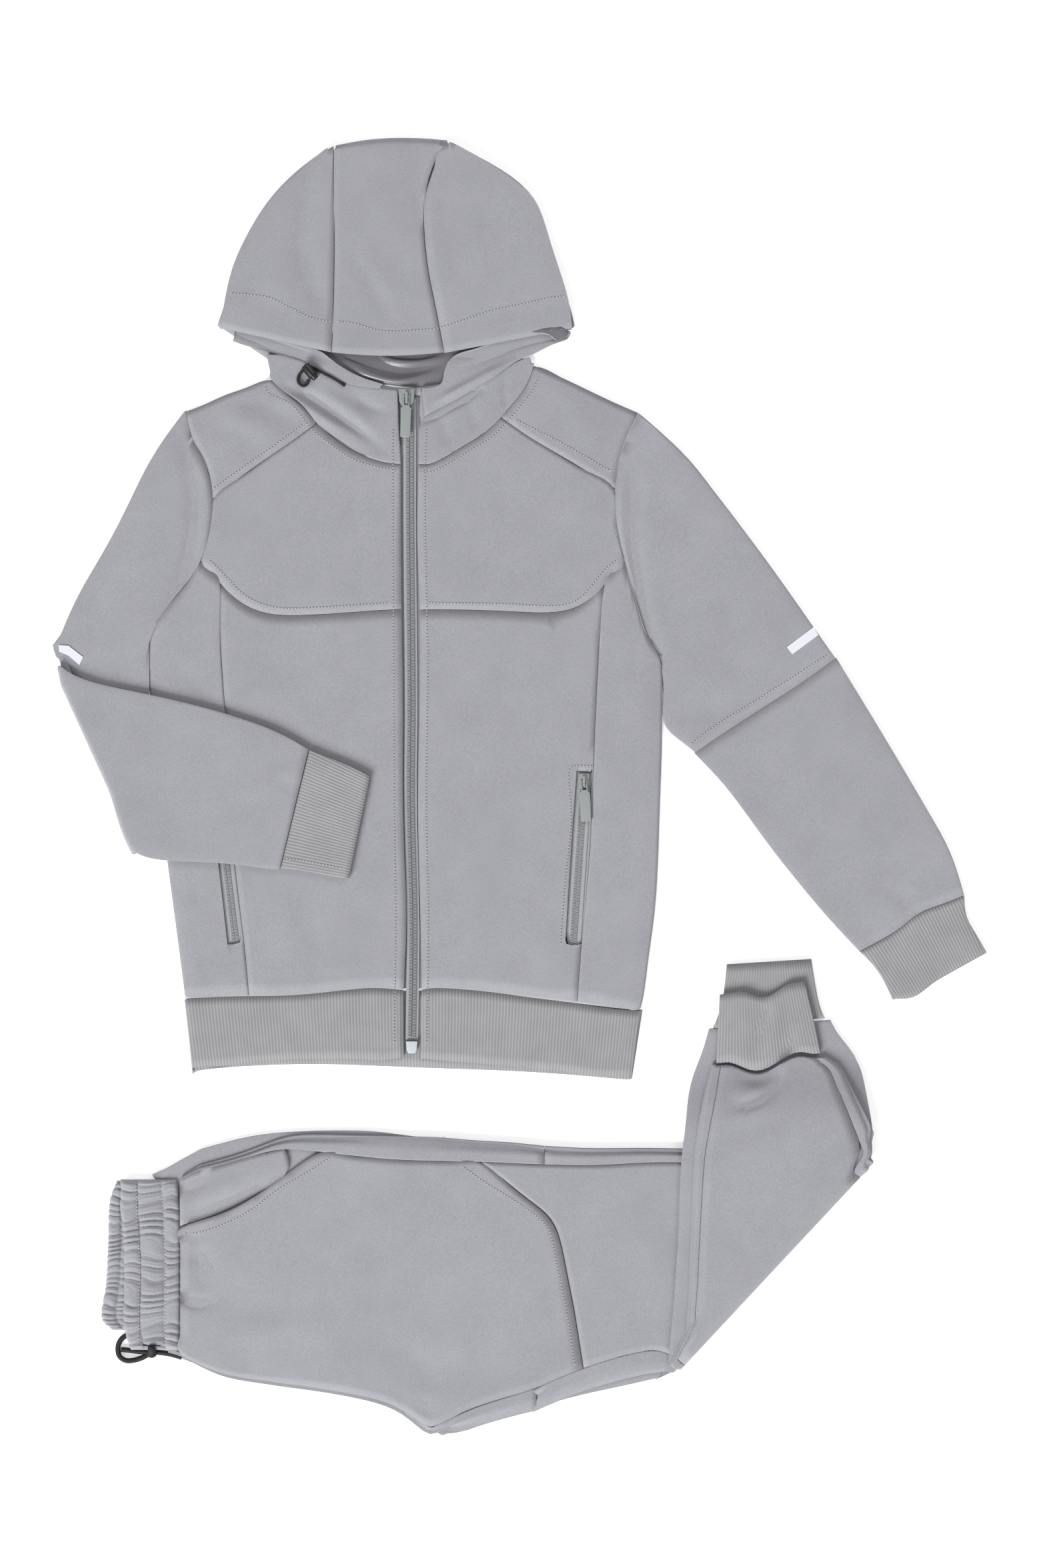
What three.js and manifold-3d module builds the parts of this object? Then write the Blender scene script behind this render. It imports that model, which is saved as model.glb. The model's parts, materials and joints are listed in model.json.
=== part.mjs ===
// A child's tracksuit laid flat: a hooded zip jacket with one sleeve folded across its front,
// and joggers folded in half lengthwise with the lower legs turned up at the knee.
// Millimetres. +X is the right of the layout, +Y its top (the hood), +Z is up off the floor.
import * as THREE from 'three';
import { mergeVertices } from 'three/addons/utils/BufferGeometryUtils.js';
import Module from 'manifold-3d';

const wasm = await Module();
wasm.setup();

// Driving sizes
const WALL = 1.4; // cloth wall of the jacket and joggers
const JACKET_TUBE = 4.4; // height of a flattened jacket tube: two walls and the air between
const LEG_TUBE = 4.0; // height of a flattened trouser leg
const GAP = 0.3; // between pieces at a seam and between layers
const ROLL = 8; // how far in from an outline the front cloth starts to turn down
const FRONT_EDGE = WALL + GAP + WALL; // top of the front cloth where it meets the back
const UNDER_LEG = 2 * (LEG_TUBE + GAP); // underside of the near shin where it lies on the thigh
const OVER_LEG = UNDER_LEG + LEG_TUBE + GAP; // underside of the far shin

// Colours seen in the cloth, rib and trims
const COLOUR = {
  cloth: 0xa7a8af,
  rib: 0xa5a6a6,
  lining: 0x96949a,
  tape: 0xa2a3a6,
  metal: 0x9ba3a0,
  clear: 0xbec6ca,
  film: 0xdadce6,
  black: 0x141416,
};

const suit = new THREE.Group();

function material(kind) {
  const shiny = kind === 'metal' || kind === 'film';
  return new THREE.MeshStandardMaterial({
    color: COLOUR[kind],
    roughness: shiny ? 0.4 : 0.85,
    metalness: kind === 'metal' ? 0.3 : 0,
  });
}

function add(name, geometry, kind) {
  const mesh = new THREE.Mesh(geometry, material(kind));
  mesh.name = name;
  suit.add(mesh);
  return mesh;
}

// Tables: the first row names the columns
function table([columns, ...rows]) {
  return rows.map((row) => Object.fromEntries(columns.map((name, i) => [name, row[i]])));
}

// The same table with more rows, eased through the given ones
function finer(rows, steps) {
  return Array.from({ length: steps + 1 }, (_, k) => {
    const place = (k / steps) * (rows.length - 1);
    const i = Math.min(rows.length - 2, Math.floor(place));
    const pick = (n) => rows[Math.min(rows.length - 1, Math.max(0, n))];
    const t = place - i;
    return Object.fromEntries(Object.keys(rows[0]).map((key) => {
      const [a, b, c, d] = [pick(i - 1)[key], pick(i)[key], pick(i + 1)[key], pick(i + 2)[key]];
      const bend = (3 * b - a - 3 * c + d) * t ** 3 + (2 * a - 5 * b + 4 * c - d) * t ** 2;
      return [key, b + 0.5 * ((c - a) * t + bend)];
    }));
  });
}

// Lines on the floor plane
function curve(rows, steps) {
  const points = rows.map(([x, y]) => new THREE.Vector3(x, y, 0));
  const line = new THREE.CatmullRomCurve3(points, false, 'centripetal');
  return line.getSpacedPoints(steps).map((p) => new THREE.Vector2(p.x, p.y));
}

const joined = (...lines) => lines.flatMap((line, i) => (i === 0 ? line : line.slice(1)));
const reversed = (line) => [...line].reverse();

function lengthOf(line) {
  return line.slice(1).reduce((sum, p, i) => sum + p.distanceTo(line[i]), 0);
}

function walk(line, distance) {
  let left = distance;
  for (let i = 1; i < line.length; i += 1) {
    const span = line[i].distanceTo(line[i - 1]);
    if (left <= span || i === line.length - 1) {
      return line[i - 1].clone().lerp(line[i], span === 0 ? 0 : left / span);
    }
    left -= span;
  }
  return line[line.length - 1].clone();
}

function resampled(line, steps) {
  const total = lengthOf(line);
  return Array.from({ length: steps + 1 }, (_, i) => walk(line, (total * i) / steps));
}

// The same line with its longest spans halved until it has this many steps
function refined(line, steps) {
  const points = [...line];
  while (points.length - 1 < steps) {
    let longest = 1;
    for (let i = 2; i < points.length; i += 1) {
      const span = points[i].distanceTo(points[i - 1]);
      if (span > points[longest].distanceTo(points[longest - 1])) longest = i;
    }
    points.splice(longest, 0, points[longest].clone().lerp(points[longest - 1], 0.5));
  }
  return points;
}

function distanceTo(line, p) {
  let best = Infinity;
  for (let i = 1; i < line.length; i += 1) {
    const edge = line[i].clone().sub(line[i - 1]);
    const along = p.clone().sub(line[i - 1]).dot(edge) / edge.lengthSq();
    const foot = line[i - 1].clone().addScaledVector(edge, Math.min(1, Math.max(0, along)));
    best = Math.min(best, foot.distanceTo(p));
  }
  return best;
}

// A patch between four seams: the top and bottom run left to right, the sides top to bottom
function patch(top, bottom, left, right) {
  const across = top.length - 1;
  const down = left.length - 1;
  if (bottom.length !== top.length || right.length !== left.length) {
    throw new Error(`patch sides differ: ${top.length} ${bottom.length} ${left.length} ${right.length}`);
  }
  return left.map((_, j) => top.map((__, i) => {
    const u = i / across;
    const v = j / down;
    const point = new THREE.Vector2();
    point.addScaledVector(top[i], 1 - v).addScaledVector(bottom[i], v);
    point.addScaledVector(left[j], 1 - u).addScaledVector(right[j], u);
    point.addScaledVector(top[0], -(1 - u) * (1 - v)).addScaledVector(top[across], -u * (1 - v));
    point.addScaledVector(bottom[0], -(1 - u) * v).addScaledVector(bottom[across], -u * v);
    return point;
  }));
}

// Moves a closed loop inwards, so that two pieces keep the seam gap between them
function insetLoop(loop, by) {
  const area = loop.reduce((sum, p, i) => sum + p.cross(loop[(i + 1) % loop.length]), 0);
  const turn = Math.sign(area);
  return loop.map((p, i) => {
    const before = p.clone().sub(loop[(i + loop.length - 1) % loop.length]).normalize();
    const after = loop[(i + 1) % loop.length].clone().sub(p).normalize();
    const normal = new THREE.Vector2(-before.y - after.y, before.x + after.x).normalize();
    const spread = Math.max(0.35, Math.abs(normal.dot(new THREE.Vector2(-after.y, after.x))));
    return p.clone().addScaledVector(normal, (turn * by) / spread);
  });
}

function insetGrid(grid, by = GAP / 2) {
  const last = grid.length - 1;
  const end = grid[0].length - 1;
  const ring = [];
  for (let i = 0; i < end; i += 1) ring.push([0, i]);
  for (let j = 0; j < last; j += 1) ring.push([j, end]);
  for (let i = end; i > 0; i -= 1) ring.push([last, i]);
  for (let j = last; j > 0; j -= 1) ring.push([j, 0]);
  const moved = insetLoop(ring.map(([j, i]) => grid[j][i]), by);
  const copy = grid.map((row) => row.map((p) => p.clone()));
  ring.forEach(([j, i], k) => copy[j][i].copy(moved[k]));
  return copy;
}

// Closed solids from rows of points
function geometryFrom(points, faces) {
  let volume = 0;
  for (const [a, b, c] of faces) volume += points[a].dot(points[b].clone().cross(points[c]));
  const turned = volume < 0 ? faces.map(([a, b, c]) => [a, c, b]) : faces;
  const geometry = new THREE.BufferGeometry();
  const numbers = points.flatMap((p) => [p.x, p.y, p.z]);
  geometry.setAttribute('position', new THREE.Float32BufferAttribute(numbers, 3));
  geometry.setIndex(turned.flat());
  return geometry;
}

// A cloth wall: outer and inner points, row by row; wrapped when each row is a closed ring
function wallGeometry(outer, inner, wrapped = false) {
  const rows = outer.length;
  const count = outer[0].length;
  const spans = wrapped ? count : count - 1;
  const points = [...outer.flat(), ...inner.flat()];
  const faces = [];
  const out = (j, i) => j * count + (i % count);
  const inn = (j, i) => rows * count + out(j, i);
  const quad = (a, b, c, d) => faces.push([a, b, c], [a, c, d]);
  for (let j = 0; j + 1 < rows; j += 1) {
    for (let i = 0; i < spans; i += 1) {
      quad(out(j, i), out(j, i + 1), out(j + 1, i + 1), out(j + 1, i));
      quad(inn(j, i), inn(j + 1, i), inn(j + 1, i + 1), inn(j, i + 1));
    }
    if (!wrapped) {
      quad(out(j, 0), out(j + 1, 0), inn(j + 1, 0), inn(j, 0));
      quad(out(j, count - 1), inn(j, count - 1), inn(j + 1, count - 1), out(j + 1, count - 1));
    }
  }
  for (let i = 0; i < spans; i += 1) {
    quad(out(0, i), inn(0, i), inn(0, i + 1), out(0, i + 1));
    quad(out(rows - 1, i), out(rows - 1, i + 1), inn(rows - 1, i + 1), inn(rows - 1, i));
  }
  return geometryFrom(points, faces);
}

// A filled form: closed rings of points, with a cap on the first and the last
function filledGeometry(rings) {
  const count = rings[0].length;
  const points = rings.flat();
  const faces = [];
  for (let j = 0; j + 1 < rings.length; j += 1) {
    for (let i = 0; i < count; i += 1) {
      const a = j * count + i;
      const b = j * count + ((i + 1) % count);
      faces.push([a, b, b + count], [a, b + count, a + count]);
    }
  }
  [0, rings.length - 1].forEach((j) => {
    const centre = new THREE.Vector3();
    rings[j].forEach((p) => centre.addScaledVector(p, 1 / count));
    const tip = points.push(centre) - 1;
    for (let i = 0; i < count; i += 1) {
      const a = j * count + i;
      const b = j * count + ((i + 1) % count);
      faces.push(j === 0 ? [tip, b, a] : [tip, a, b]);
    }
  });
  return geometryFrom(points, faces);
}

// A flat sheet whose top follows a height over the floor plane
function sheetGeometry(grid, heightAt, thickness = WALL) {
  const outer = grid.map((row) => row.map((p) => new THREE.Vector3(p.x, p.y, heightAt(p))));
  const inner = outer.map((row) => row.map((p) => p.clone().setZ(p.z - thickness)));
  return wallGeometry(outer, inner);
}

// A level plate with a given outline
function plateGeometry(loop, low, high, inset) {
  const outline = insetLoop(loop, inset);
  const geometry = new THREE.ExtrudeGeometry(new THREE.Shape(outline), {
    depth: high - low,
    bevelEnabled: false,
  });
  return bare(geometry.translate(0, 0, low));
}

function bare(geometry) {
  geometry.deleteAttribute('normal');
  geometry.deleteAttribute('uv');
  return mergeVertices(geometry, 1e-4);
}

// Booleans
function toSolid(geometry) {
  const merged = bare(geometry.clone());
  return new wasm.Manifold(new wasm.Mesh({
    numProp: 3,
    vertProperties: new Float32Array(merged.attributes.position.array),
    triVerts: new Uint32Array(merged.index.array),
  }));
}

function fromSolid(solid) {
  const mesh = solid.getMesh();
  const geometry = new THREE.BufferGeometry();
  geometry.setAttribute('position', new THREE.BufferAttribute(new Float32Array(mesh.vertProperties), 3));
  geometry.setIndex(new THREE.BufferAttribute(new Uint32Array(mesh.triVerts), 1));
  return geometry;
}

const cut = (body, tool) => fromSolid(toSolid(body).subtract(toSolid(tool)));
const fused = (...parts) => fromSolid(parts.map(toSolid).reduce((sum, part) => sum.add(part)));

// Flattened tubes. A section is a line across the tube; the cloth runs over it and back under.
// Each station round the ring is on the top, on the underside or on one of the round ends.
const END_ANGLES = [90, 30, -30, -90];

function ringStations(spans) {
  const middle = Array.from({ length: spans - 1 }, (_, i) => i + 1);
  return [
    ...middle.map((vertex) => ({ vertex, over: true })),
    ...END_ANGLES.map((angle) => ({ end: 1, angle })),
    ...reversed(middle).map((vertex) => ({ vertex, over: false })),
    ...reversed(END_ANGLES).map((angle) => ({ end: 0, angle })),
  ];
}

// Stations of a tube that is open on top: from one free edge under the tube to the other.
// A reach is how far the cloth comes over the top from the outline.
function openStations(spans, steps) {
  const run = Array.from({ length: steps + 1 }, (_, k) => k / steps);
  const middle = Array.from({ length: spans - 1 }, (_, i) => i + 1);
  return [
    ...run.map((share) => ({ end: 0, share: 1 - share })),
    ...middle.map((vertex) => ({ vertex, over: false })),
    ...run.map((share) => ({ end: 1, share })),
  ];
}

function stationPlace(line, station, height, depth, reach) {
  const radius = height / 2;
  const bend = radius - depth;
  const width = lengthOf(line);
  if (station.vertex !== undefined) {
    const along = lengthOf(line.slice(0, station.vertex + 1));
    const s = Math.min(width - radius, Math.max(radius, along));
    return { s, h: station.over ? height - depth : depth };
  }
  let fromEdge;
  let h;
  if (station.angle !== undefined) {
    const angle = THREE.MathUtils.degToRad(station.angle);
    fromEdge = radius - bend * Math.cos(angle);
    h = radius + bend * Math.sin(angle);
  } else {
    const over = reach[station.end];
    const whole = over >= radius ? Math.PI * radius + over - radius : (Math.PI / 2) * (radius + over);
    const path = station.share * whole;
    const angle = Math.min(path / radius, Math.PI) - Math.PI / 2;
    fromEdge = radius - bend * Math.cos(angle) + Math.max(0, path - Math.PI * radius);
    h = radius + bend * Math.sin(angle);
  }
  return { s: station.end ? width - fromEdge : fromEdge, h };
}

// Rows of a tube: a plain section lies at its base height, a folded one turns about an axis
function tubeRow(section, stations, height, depth) {
  return stations.map((station) => {
    const place = stationPlace(section.line, station, height, depth, section.reach);
    const h = section.flipped ? height - place.h : place.h;
    const at = walk(section.line, place.s);
    if (section.fold === undefined) {
      return new THREE.Vector3(at.x, at.y, section.base(at) + h);
    }
    const angle = THREE.MathUtils.degToRad(section.fold);
    const radius = section.radius - h;
    at.addScaledVector(section.outward, radius * Math.sin(angle));
    return new THREE.Vector3(at.x, at.y, section.axis - radius * Math.cos(angle));
  });
}

function tubeGeometry(sections, height, stations, wrapped) {
  const outer = sections.map((section) => tubeRow(section, stations, height, 0));
  const inner = sections.map((section) => tubeRow(section, stations, height, WALL));
  return wallGeometry(outer, inner, wrapped);
}

const closedTube = (sections, height) => (
  tubeGeometry(sections, height, ringStations(sections[0].line.length - 1), true)
);

const openTube = (sections, height, steps = 4) => (
  tubeGeometry(sections, height, openStations(sections[0].line.length - 1, steps), false)
);

function filledTube(sections, height) {
  const stations = ringStations(sections[0].line.length - 1);
  return filledGeometry(sections.map((section) => tubeRow(section, stations, height, 0)));
}

const level = (z) => () => z;
const laid = (line, z) => ({ line, base: level(z) });

// Insets the first and last sections of a tube, so that it keeps the gap at its seams
function trimmed(grid) {
  const last = grid.length - 1;
  const toward = (from, to) => from.map((p, i) => {
    const step = to[i].clone().sub(p);
    return p.clone().addScaledVector(step.normalize(), GAP / 2);
  });
  return grid.map((row, j) => {
    if (j === 0) return toward(row, grid[1]);
    if (j === last) return toward(row, grid[last - 1]);
    return row;
  });
}

// Seams of the jacket. Each is a short line of points, cut into a set number of steps.
const SEAM = {
  shoulderLeft: curve([[-187, 304.5], [-202.5, 299.5], [-221.5, 293], [-238, 285.5], [-252.5, 280]], 4),
  shoulderRight: curve([[10, 315], [34.5, 304.5], [63.5, 290.5], [88.5, 279.5]], 4),
  neckYokeLeft: curve([[-187, 304.5], [-184, 298], [-169, 291], [-153, 271.5]], 3),
  neckYokeRight: curve([[-14.5, 276], [-3.5, 289], [5, 301], [10, 315]], 3),
  neckChestLeft: curve([[-153, 271.5], [-140.5, 261], [-125.5, 251], [-103, 242.5], [-89.5, 241]], 8),
  neckChestRight: curve([[-76.5, 241], [-68.5, 241], [-57, 246], [-40.5, 256], [-26, 265], [-14.5, 276]], 8),
  yokeLeft: curve([[-153, 271.5], [-177, 254], [-203.5, 236], [-230.5, 215]], 4),
  yokeRight: curve([[-14.5, 276], [-1, 266], [43.5, 239.5], [71, 222.5]], 4),
  armYokeLeft: curve([[-252.5, 280], [-245.5, 260], [-235, 238.5], [-230.5, 215]], 3),
  armYokeRight: curve([[88.5, 279.5], [81.5, 266], [72.5, 237], [71, 222.5]], 3),
  armChestLeft: curve([[-230.5, 215], [-230.5, 205], [-232, 194.5], [-239.5, 168.5]], 2),
  armChestRight: curve([[71, 222.5], [70.5, 208], [72, 194.5], [78.5, 167.5]], 2),
  armSideLeft: curve([[-239.5, 168.5], [-252.5, 148], [-270.5, 127], [-278, 106.5]], 4),
  armSideRight: curve([[78.5, 167.5], [87.5, 134.5], [97, 107.5], [105.5, 96.5]], 4),
  chestSideLeft: curve([[-239.5, 168.5], [-230.5, 159.5], [-224.5, 151]], 2),
  chestSideRight: curve([[62.5, 149.5], [70, 161], [78.5, 167.5]], 2),
  chestLeft: curve([
    [-224.5, 151], [-207.5, 136], [-184.5, 128.5], [-150, 128.5], [-121.5, 130.5], [-89, 132.5],
  ], 6),
  chestRight: curve([[-75.5, 132], [-46, 132], [-12.5, 131], [21, 130], [48, 136.5], [62.5, 149.5]], 6),
  sideLeft: curve([[-224.5, 151], [-224.5, 99], [-221, 55], [-214, -58.5], [-207, -118], [-203.5, -157]], 8),
  sideRight: curve([[62.5, 149.5], [59, 107.5], [55.5, 34], [51.5, -55], [47, -101.5], [42.5, -161.5]], 8),
  bodyLeft: curve([[-278, 106.5], [-278, 68.5], [-265, -55], [-257.5, -111.5], [-251.5, -158.5]], 8),
  bodyRight: curve([[105.5, 96.5], [106.5, 46.5], [105, -3.5], [101.5, -86], [97, -122.5], [90.5, -166]], 8),
  hemSideLeft: curve([[-251.5, -158.5], [-226, -157.5], [-203.5, -157]], 6),
  hemSideRight: curve([[42.5, -161.5], [62.5, -164.5], [83.5, -167.5], [90.5, -166]], 6),
  hemLeft: curve([[-203.5, -157], [-176, -156.5], [-140.5, -154], [-113, -151], [-87.5, -152.5]], 6),
  hemRight: curve([[-74, -152], [-56, -151], [-21.5, -154], [42.5, -161.5]], 6),
  zipCollarLeft: curve([[-92, 297], [-91, 270], [-89.5, 241]], 4),
  zipCollarRight: curve([[-75, 297], [-76, 270], [-76.5, 241]], 4),
  zipChestLeft: curve([[-89.5, 241], [-89.5, 190], [-89, 132.5]], 6),
  zipChestRight: curve([[-76.5, 241], [-77.5, 190], [-75.5, 132]], 6),
  zipLeft: curve([[-89, 132.5], [-88, 60], [-88, -10], [-85.5, -105], [-87.5, -152.5]], 8),
  zipRight: curve([[-75.5, 132], [-75.5, 60], [-77, -10], [-75, -105], [-74, -152]], 8),
};
const ARMHOLE = {
  Left: joined(SEAM.armYokeLeft, SEAM.armChestLeft, SEAM.armSideLeft),
  Right: joined(SEAM.armYokeRight, SEAM.armChestRight, SEAM.armSideRight),
};
const BACK_NECK = curve([[-187, 304.5], [-150, 300], [-88, 298], [-30, 303], [10, 315]], 8);

// The front cloth is level inside and turns down to the back cloth along the body's outlines
const ROLLED = [SEAM.shoulderLeft, SEAM.shoulderRight, SEAM.bodyLeft, SEAM.bodyRight];

function frontHeight(p) {
  const inside = Math.min(...ROLLED.map((line) => distanceTo(line, p))) / ROLL;
  const rise = inside >= 1 ? 1 : Math.sqrt(1 - (1 - inside) ** 2);
  return FRONT_EDGE + (JACKET_TUBE - FRONT_EDGE) * rise;
}

const frontPanel = (name, ...sides) => (
  add(name, sheetGeometry(insetGrid(patch(...sides)), frontHeight), 'cloth')
);

// Pocket windows: strips beside the side seams where the pocket zips are let in
const POCKETS = table([
  ['side', 'topX', 'topY', 'lowX', 'lowY', 'width'],
  ['left', -229, 11, -213.5, -118, 12],
  ['right', 48, 11, 39.5, -119, 12],
]);

function pocketStrip(pocket, width, low, high) {
  const end = new THREE.Vector2(pocket.lowX, pocket.lowY);
  const start = new THREE.Vector2(pocket.topX, pocket.topY);
  const across = end.clone().sub(start).normalize();
  across.set(-across.y, across.x).multiplyScalar(width / 2);
  const loop = [
    start.clone().sub(across),
    start.clone().add(across),
    end.clone().add(across),
    end.clone().sub(across),
  ];
  const outline = new THREE.Shape(loop);
  const geometry = new THREE.ExtrudeGeometry(outline, { depth: high - low, bevelEnabled: false });
  return bare(geometry.translate(0, 0, low));
}

const BODY_OUTLINE = joined(
  reversed(SEAM.shoulderLeft), BACK_NECK, SEAM.shoulderRight, ARMHOLE.Right, SEAM.bodyRight,
  reversed(SEAM.hemSideRight), reversed(SEAM.hemRight), reversed(SEAM.hemLeft),
  reversed(SEAM.hemSideLeft), reversed(SEAM.bodyLeft), reversed(ARMHOLE.Left),
).slice(0, -1);

function jacketBody() {
  add('jacket_back', plateGeometry(BODY_OUTLINE, 0, WALL, GAP / 2), 'cloth');

  frontPanel('yoke_left', SEAM.shoulderLeft, SEAM.yokeLeft, SEAM.neckYokeLeft, SEAM.armYokeLeft);
  const neckYokeRight = reversed(SEAM.neckYokeRight);
  frontPanel('yoke_right', SEAM.shoulderRight, SEAM.yokeRight, neckYokeRight, SEAM.armYokeRight);
  frontPanel('chest_left', SEAM.neckChestLeft, joined(SEAM.chestSideLeft, SEAM.chestLeft),
    joined(SEAM.yokeLeft, SEAM.armChestLeft), SEAM.zipChestLeft);
  frontPanel('chest_right', SEAM.neckChestRight, joined(SEAM.chestRight, SEAM.chestSideRight),
    SEAM.zipChestRight, joined(SEAM.yokeRight, SEAM.armChestRight));
  const lower = {
    front_left: patch(SEAM.chestLeft, SEAM.hemLeft, SEAM.sideLeft, SEAM.zipLeft),
    front_right: patch(SEAM.chestRight, SEAM.hemRight, SEAM.zipRight, SEAM.sideRight),
    side_left: patch(joined(reversed(SEAM.armSideLeft), SEAM.chestSideLeft), SEAM.hemSideLeft,
      SEAM.bodyLeft, SEAM.sideLeft),
    side_right: patch(joined(SEAM.chestSideRight, SEAM.armSideRight), SEAM.hemSideRight,
      SEAM.sideRight, SEAM.bodyRight),
  };
  for (const [name, grid] of Object.entries(lower)) {
    const pocket = POCKETS.find(({ side }) => name.endsWith(side));
    const window = pocketStrip(pocket, pocket.width, -1, JACKET_TUBE + 1);
    add(name, cut(sheetGeometry(insetGrid(grid), frontHeight), window), 'cloth');
  }
}

// Ribbed hem band: one strip from the zip round the back to the zip again.
// A row is a station along it, with its upper and lower ends; z is the height of its outer face.
const HEM_BAND = table([
  ['x', 'top', 'lowX', 'low', 'z'],
  [-87.5, -152.5, -87.5, -203, 4.4],
  [-104.5, -151, -104.5, -205.5, 4.4],
  [-122, -151.5, -122, -204.5, 4.4],
  [-150, -154.5, -150, -204.5, 4.4],
  [-176, -156.5, -176, -205, 4.4],
  [-203.5, -157, -200, -207, 4.4],
  [-226, -157.5, -222, -209.5, 4.4],
  [-247, -158.5, -242.5, -210.5, 4.4],
  [-250.5, -158.8, -246, -212, 3.2],
  [-250.5, -158.8, -246, -214, 1.2],
  [-247, -158.5, -242.5, -213.5, 0],
  [-203.5, -157, -213, -210.5, 0],
  [-150, -154.5, -150, -208.5, 0],
  [-82, -152, -82, -211, 0],
  [-21.5, -154, -21.5, -213, 0],
  [42.5, -161.5, 38, -216.5, 0],
  [86.5, -166.5, 78.5, -220, 0],
  [90, -166, 82.8, -218.5, 1.2],
  [90, -166, 82.8, -217, 3.2],
  [86.5, -166.8, 79, -218, 4.4],
  [62.5, -164.5, 56, -217.5, 4.4],
  [42.5, -161.5, 38, -214.5, 4.4],
  [8, -157, 4, -211, 4.4],
  [-21.5, -154, -21.5, -208.5, 4.4],
  [-56, -151, -54, -206, 4.4],
  [-74, -152, -75, -204, 4.4],
]);

function hemBand() {
  const rows = 2;
  const inward = (station, i) => {
    const before = HEM_BAND[Math.max(0, i - 1)];
    const after = HEM_BAND[Math.min(HEM_BAND.length - 1, i + 1)];
    const along = new THREE.Vector2(after.x - before.x, after.z - before.z).normalize();
    return new THREE.Vector2(-along.y, along.x);
  };
  const outer = [];
  const inner = [];
  for (let j = 0; j <= rows; j += 1) {
    const share = j / rows;
    const start = (s) => s.top - (s.z < WALL || s.x > 0 ? 5 : 1.5) * GAP;
    outer.push(HEM_BAND.map((s) => new THREE.Vector3(
      THREE.MathUtils.lerp(s.x, s.lowX, share),
      THREE.MathUtils.lerp(start(s), s.low, share),
      s.z,
    )));
    inner.push(outer[j].map((p, i) => {
      const turn = inward(HEM_BAND[i], i);
      return new THREE.Vector3(p.x + turn.x * WALL, p.y, p.z + turn.y * WALL);
    }));
  }
  add('hem_rib', wallGeometry(outer, inner), 'rib');
}

// Sleeves
const SLEEVE = {
  outerUpperRight: [[88.5, 279.5], [106, 266], [132.5, 236], [182, 172], [228.5, 106.5], [236, 96]],
  innerUpperRight: [[105.9, 96.5], [107.6, 69.5], [107.2, 46.5], [116.5, 36.5], [130.5, 25]],
  elbowRight: [[236, 96], [209.5, 77], [160.5, 45.5], [130.5, 25]],
  outerLowerRight: [[236, 96], [271.5, 38], [315.5, -37.5], [329, -66], [332.5, -82]],
  innerLowerRight: [[130.5, 25], [150, 4.5], [199, -60.5], [245, -115], [254, -124]],
  cuffSeamRight: [[332.5, -82], [310, -91], [294.5, -97.5], [284, -107], [266, -117.5], [254, -124]],
  cuffOuterRight: [[332.5, -82], [334.5, -98], [340.5, -109], [349.5, -125]],
  cuffInnerRight: [[254, -124], [262, -132], [269, -140.5], [278.5, -159.5]],
  cuffHemRight: [[349.5, -125], [335, -133], [309, -148], [291, -160], [278.5, -159.5]],
  outerUpperLeft: [[-252.5, 280], [-274.5, 248.5], [-305, 189], [-330, 145], [-340.5, 125], [-346.5, 108]],
  innerUpperLeft: [[-278.4, 106.5], [-279, 68.5], [-281, 15], [-277, -47]],
};

function tubeFrom(outer, inner, first, last, across, along) {
  const side = (rows, steps) => (Array.isArray(rows[0]) ? curve(rows, steps) : rows);
  return trimmed(patch(side(first, across), side(last, across), curve(outer, along), curve(inner, along)));
}

// What the body takes up in plan, with the seam gap round it
const bodyPrism = () => plateGeometry(BODY_OUTLINE, -1, JACKET_TUBE + 1, -GAP / 2);

function rightSleeve() {
  const across = ARMHOLE.Right.length - 1;
  const upper = tubeFrom(SLEEVE.outerUpperRight, SLEEVE.innerUpperRight, ARMHOLE.Right,
    SLEEVE.elbowRight, across, 6);
  const lower = tubeFrom(SLEEVE.outerLowerRight, SLEEVE.innerLowerRight, SLEEVE.elbowRight,
    SLEEVE.cuffSeamRight, 5, 6);
  const cuff = tubeFrom(SLEEVE.cuffOuterRight, SLEEVE.cuffInnerRight, SLEEVE.cuffSeamRight,
    SLEEVE.cuffHemRight, 5, 3);
  const upperTube = closedTube(upper.map((line) => laid(line, 0)), JACKET_TUBE);
  add('sleeve_right_upper', cut(upperTube, bodyPrism()), 'cloth');
  add('sleeve_right_lower', closedTube(lower.map((line) => laid(line, 0)), JACKET_TUBE), 'cloth');
  add('cuff_right', closedTube(cuff.map((line) => laid(line, 0)), JACKET_TUBE), 'rib');
}

// The left sleeve turns over at the elbow: its lower part lies a layer up, on the jacket.
// A row is a section from the sleeve's top edge to its bottom edge.
const FOLD_LEFT = { startX: -350.2, startY: 88, endX: -287, endY: -51 };
const LOWER_LEFT = table([
  ['topX', 'topY', 'lowX', 'lowY'],
  [-330, 80.5, -272, -54],
  [-300, 72.5, -250, -56],
  [-262, 64, -230, -57],
  [-221, 53.5, -208, -59],
  [-185, 41, -190.5, -61.5],
  [-158.5, 27.5, -180, -62],
]);
const CUFF_LEFT = table([
  ['topX', 'topY', 'lowX', 'lowY'],
  [-158, 27, -179.5, -61.5],
  [-143.5, 21, -163, -63],
  [-128, 15, -146, -66.5],
  [-112.5, 7, -128.5, -69.5],
]);

const between = (row, spans) => resampled(
  [new THREE.Vector2(row.topX, row.topY), new THREE.Vector2(row.lowX, row.lowY)], spans);

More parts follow.
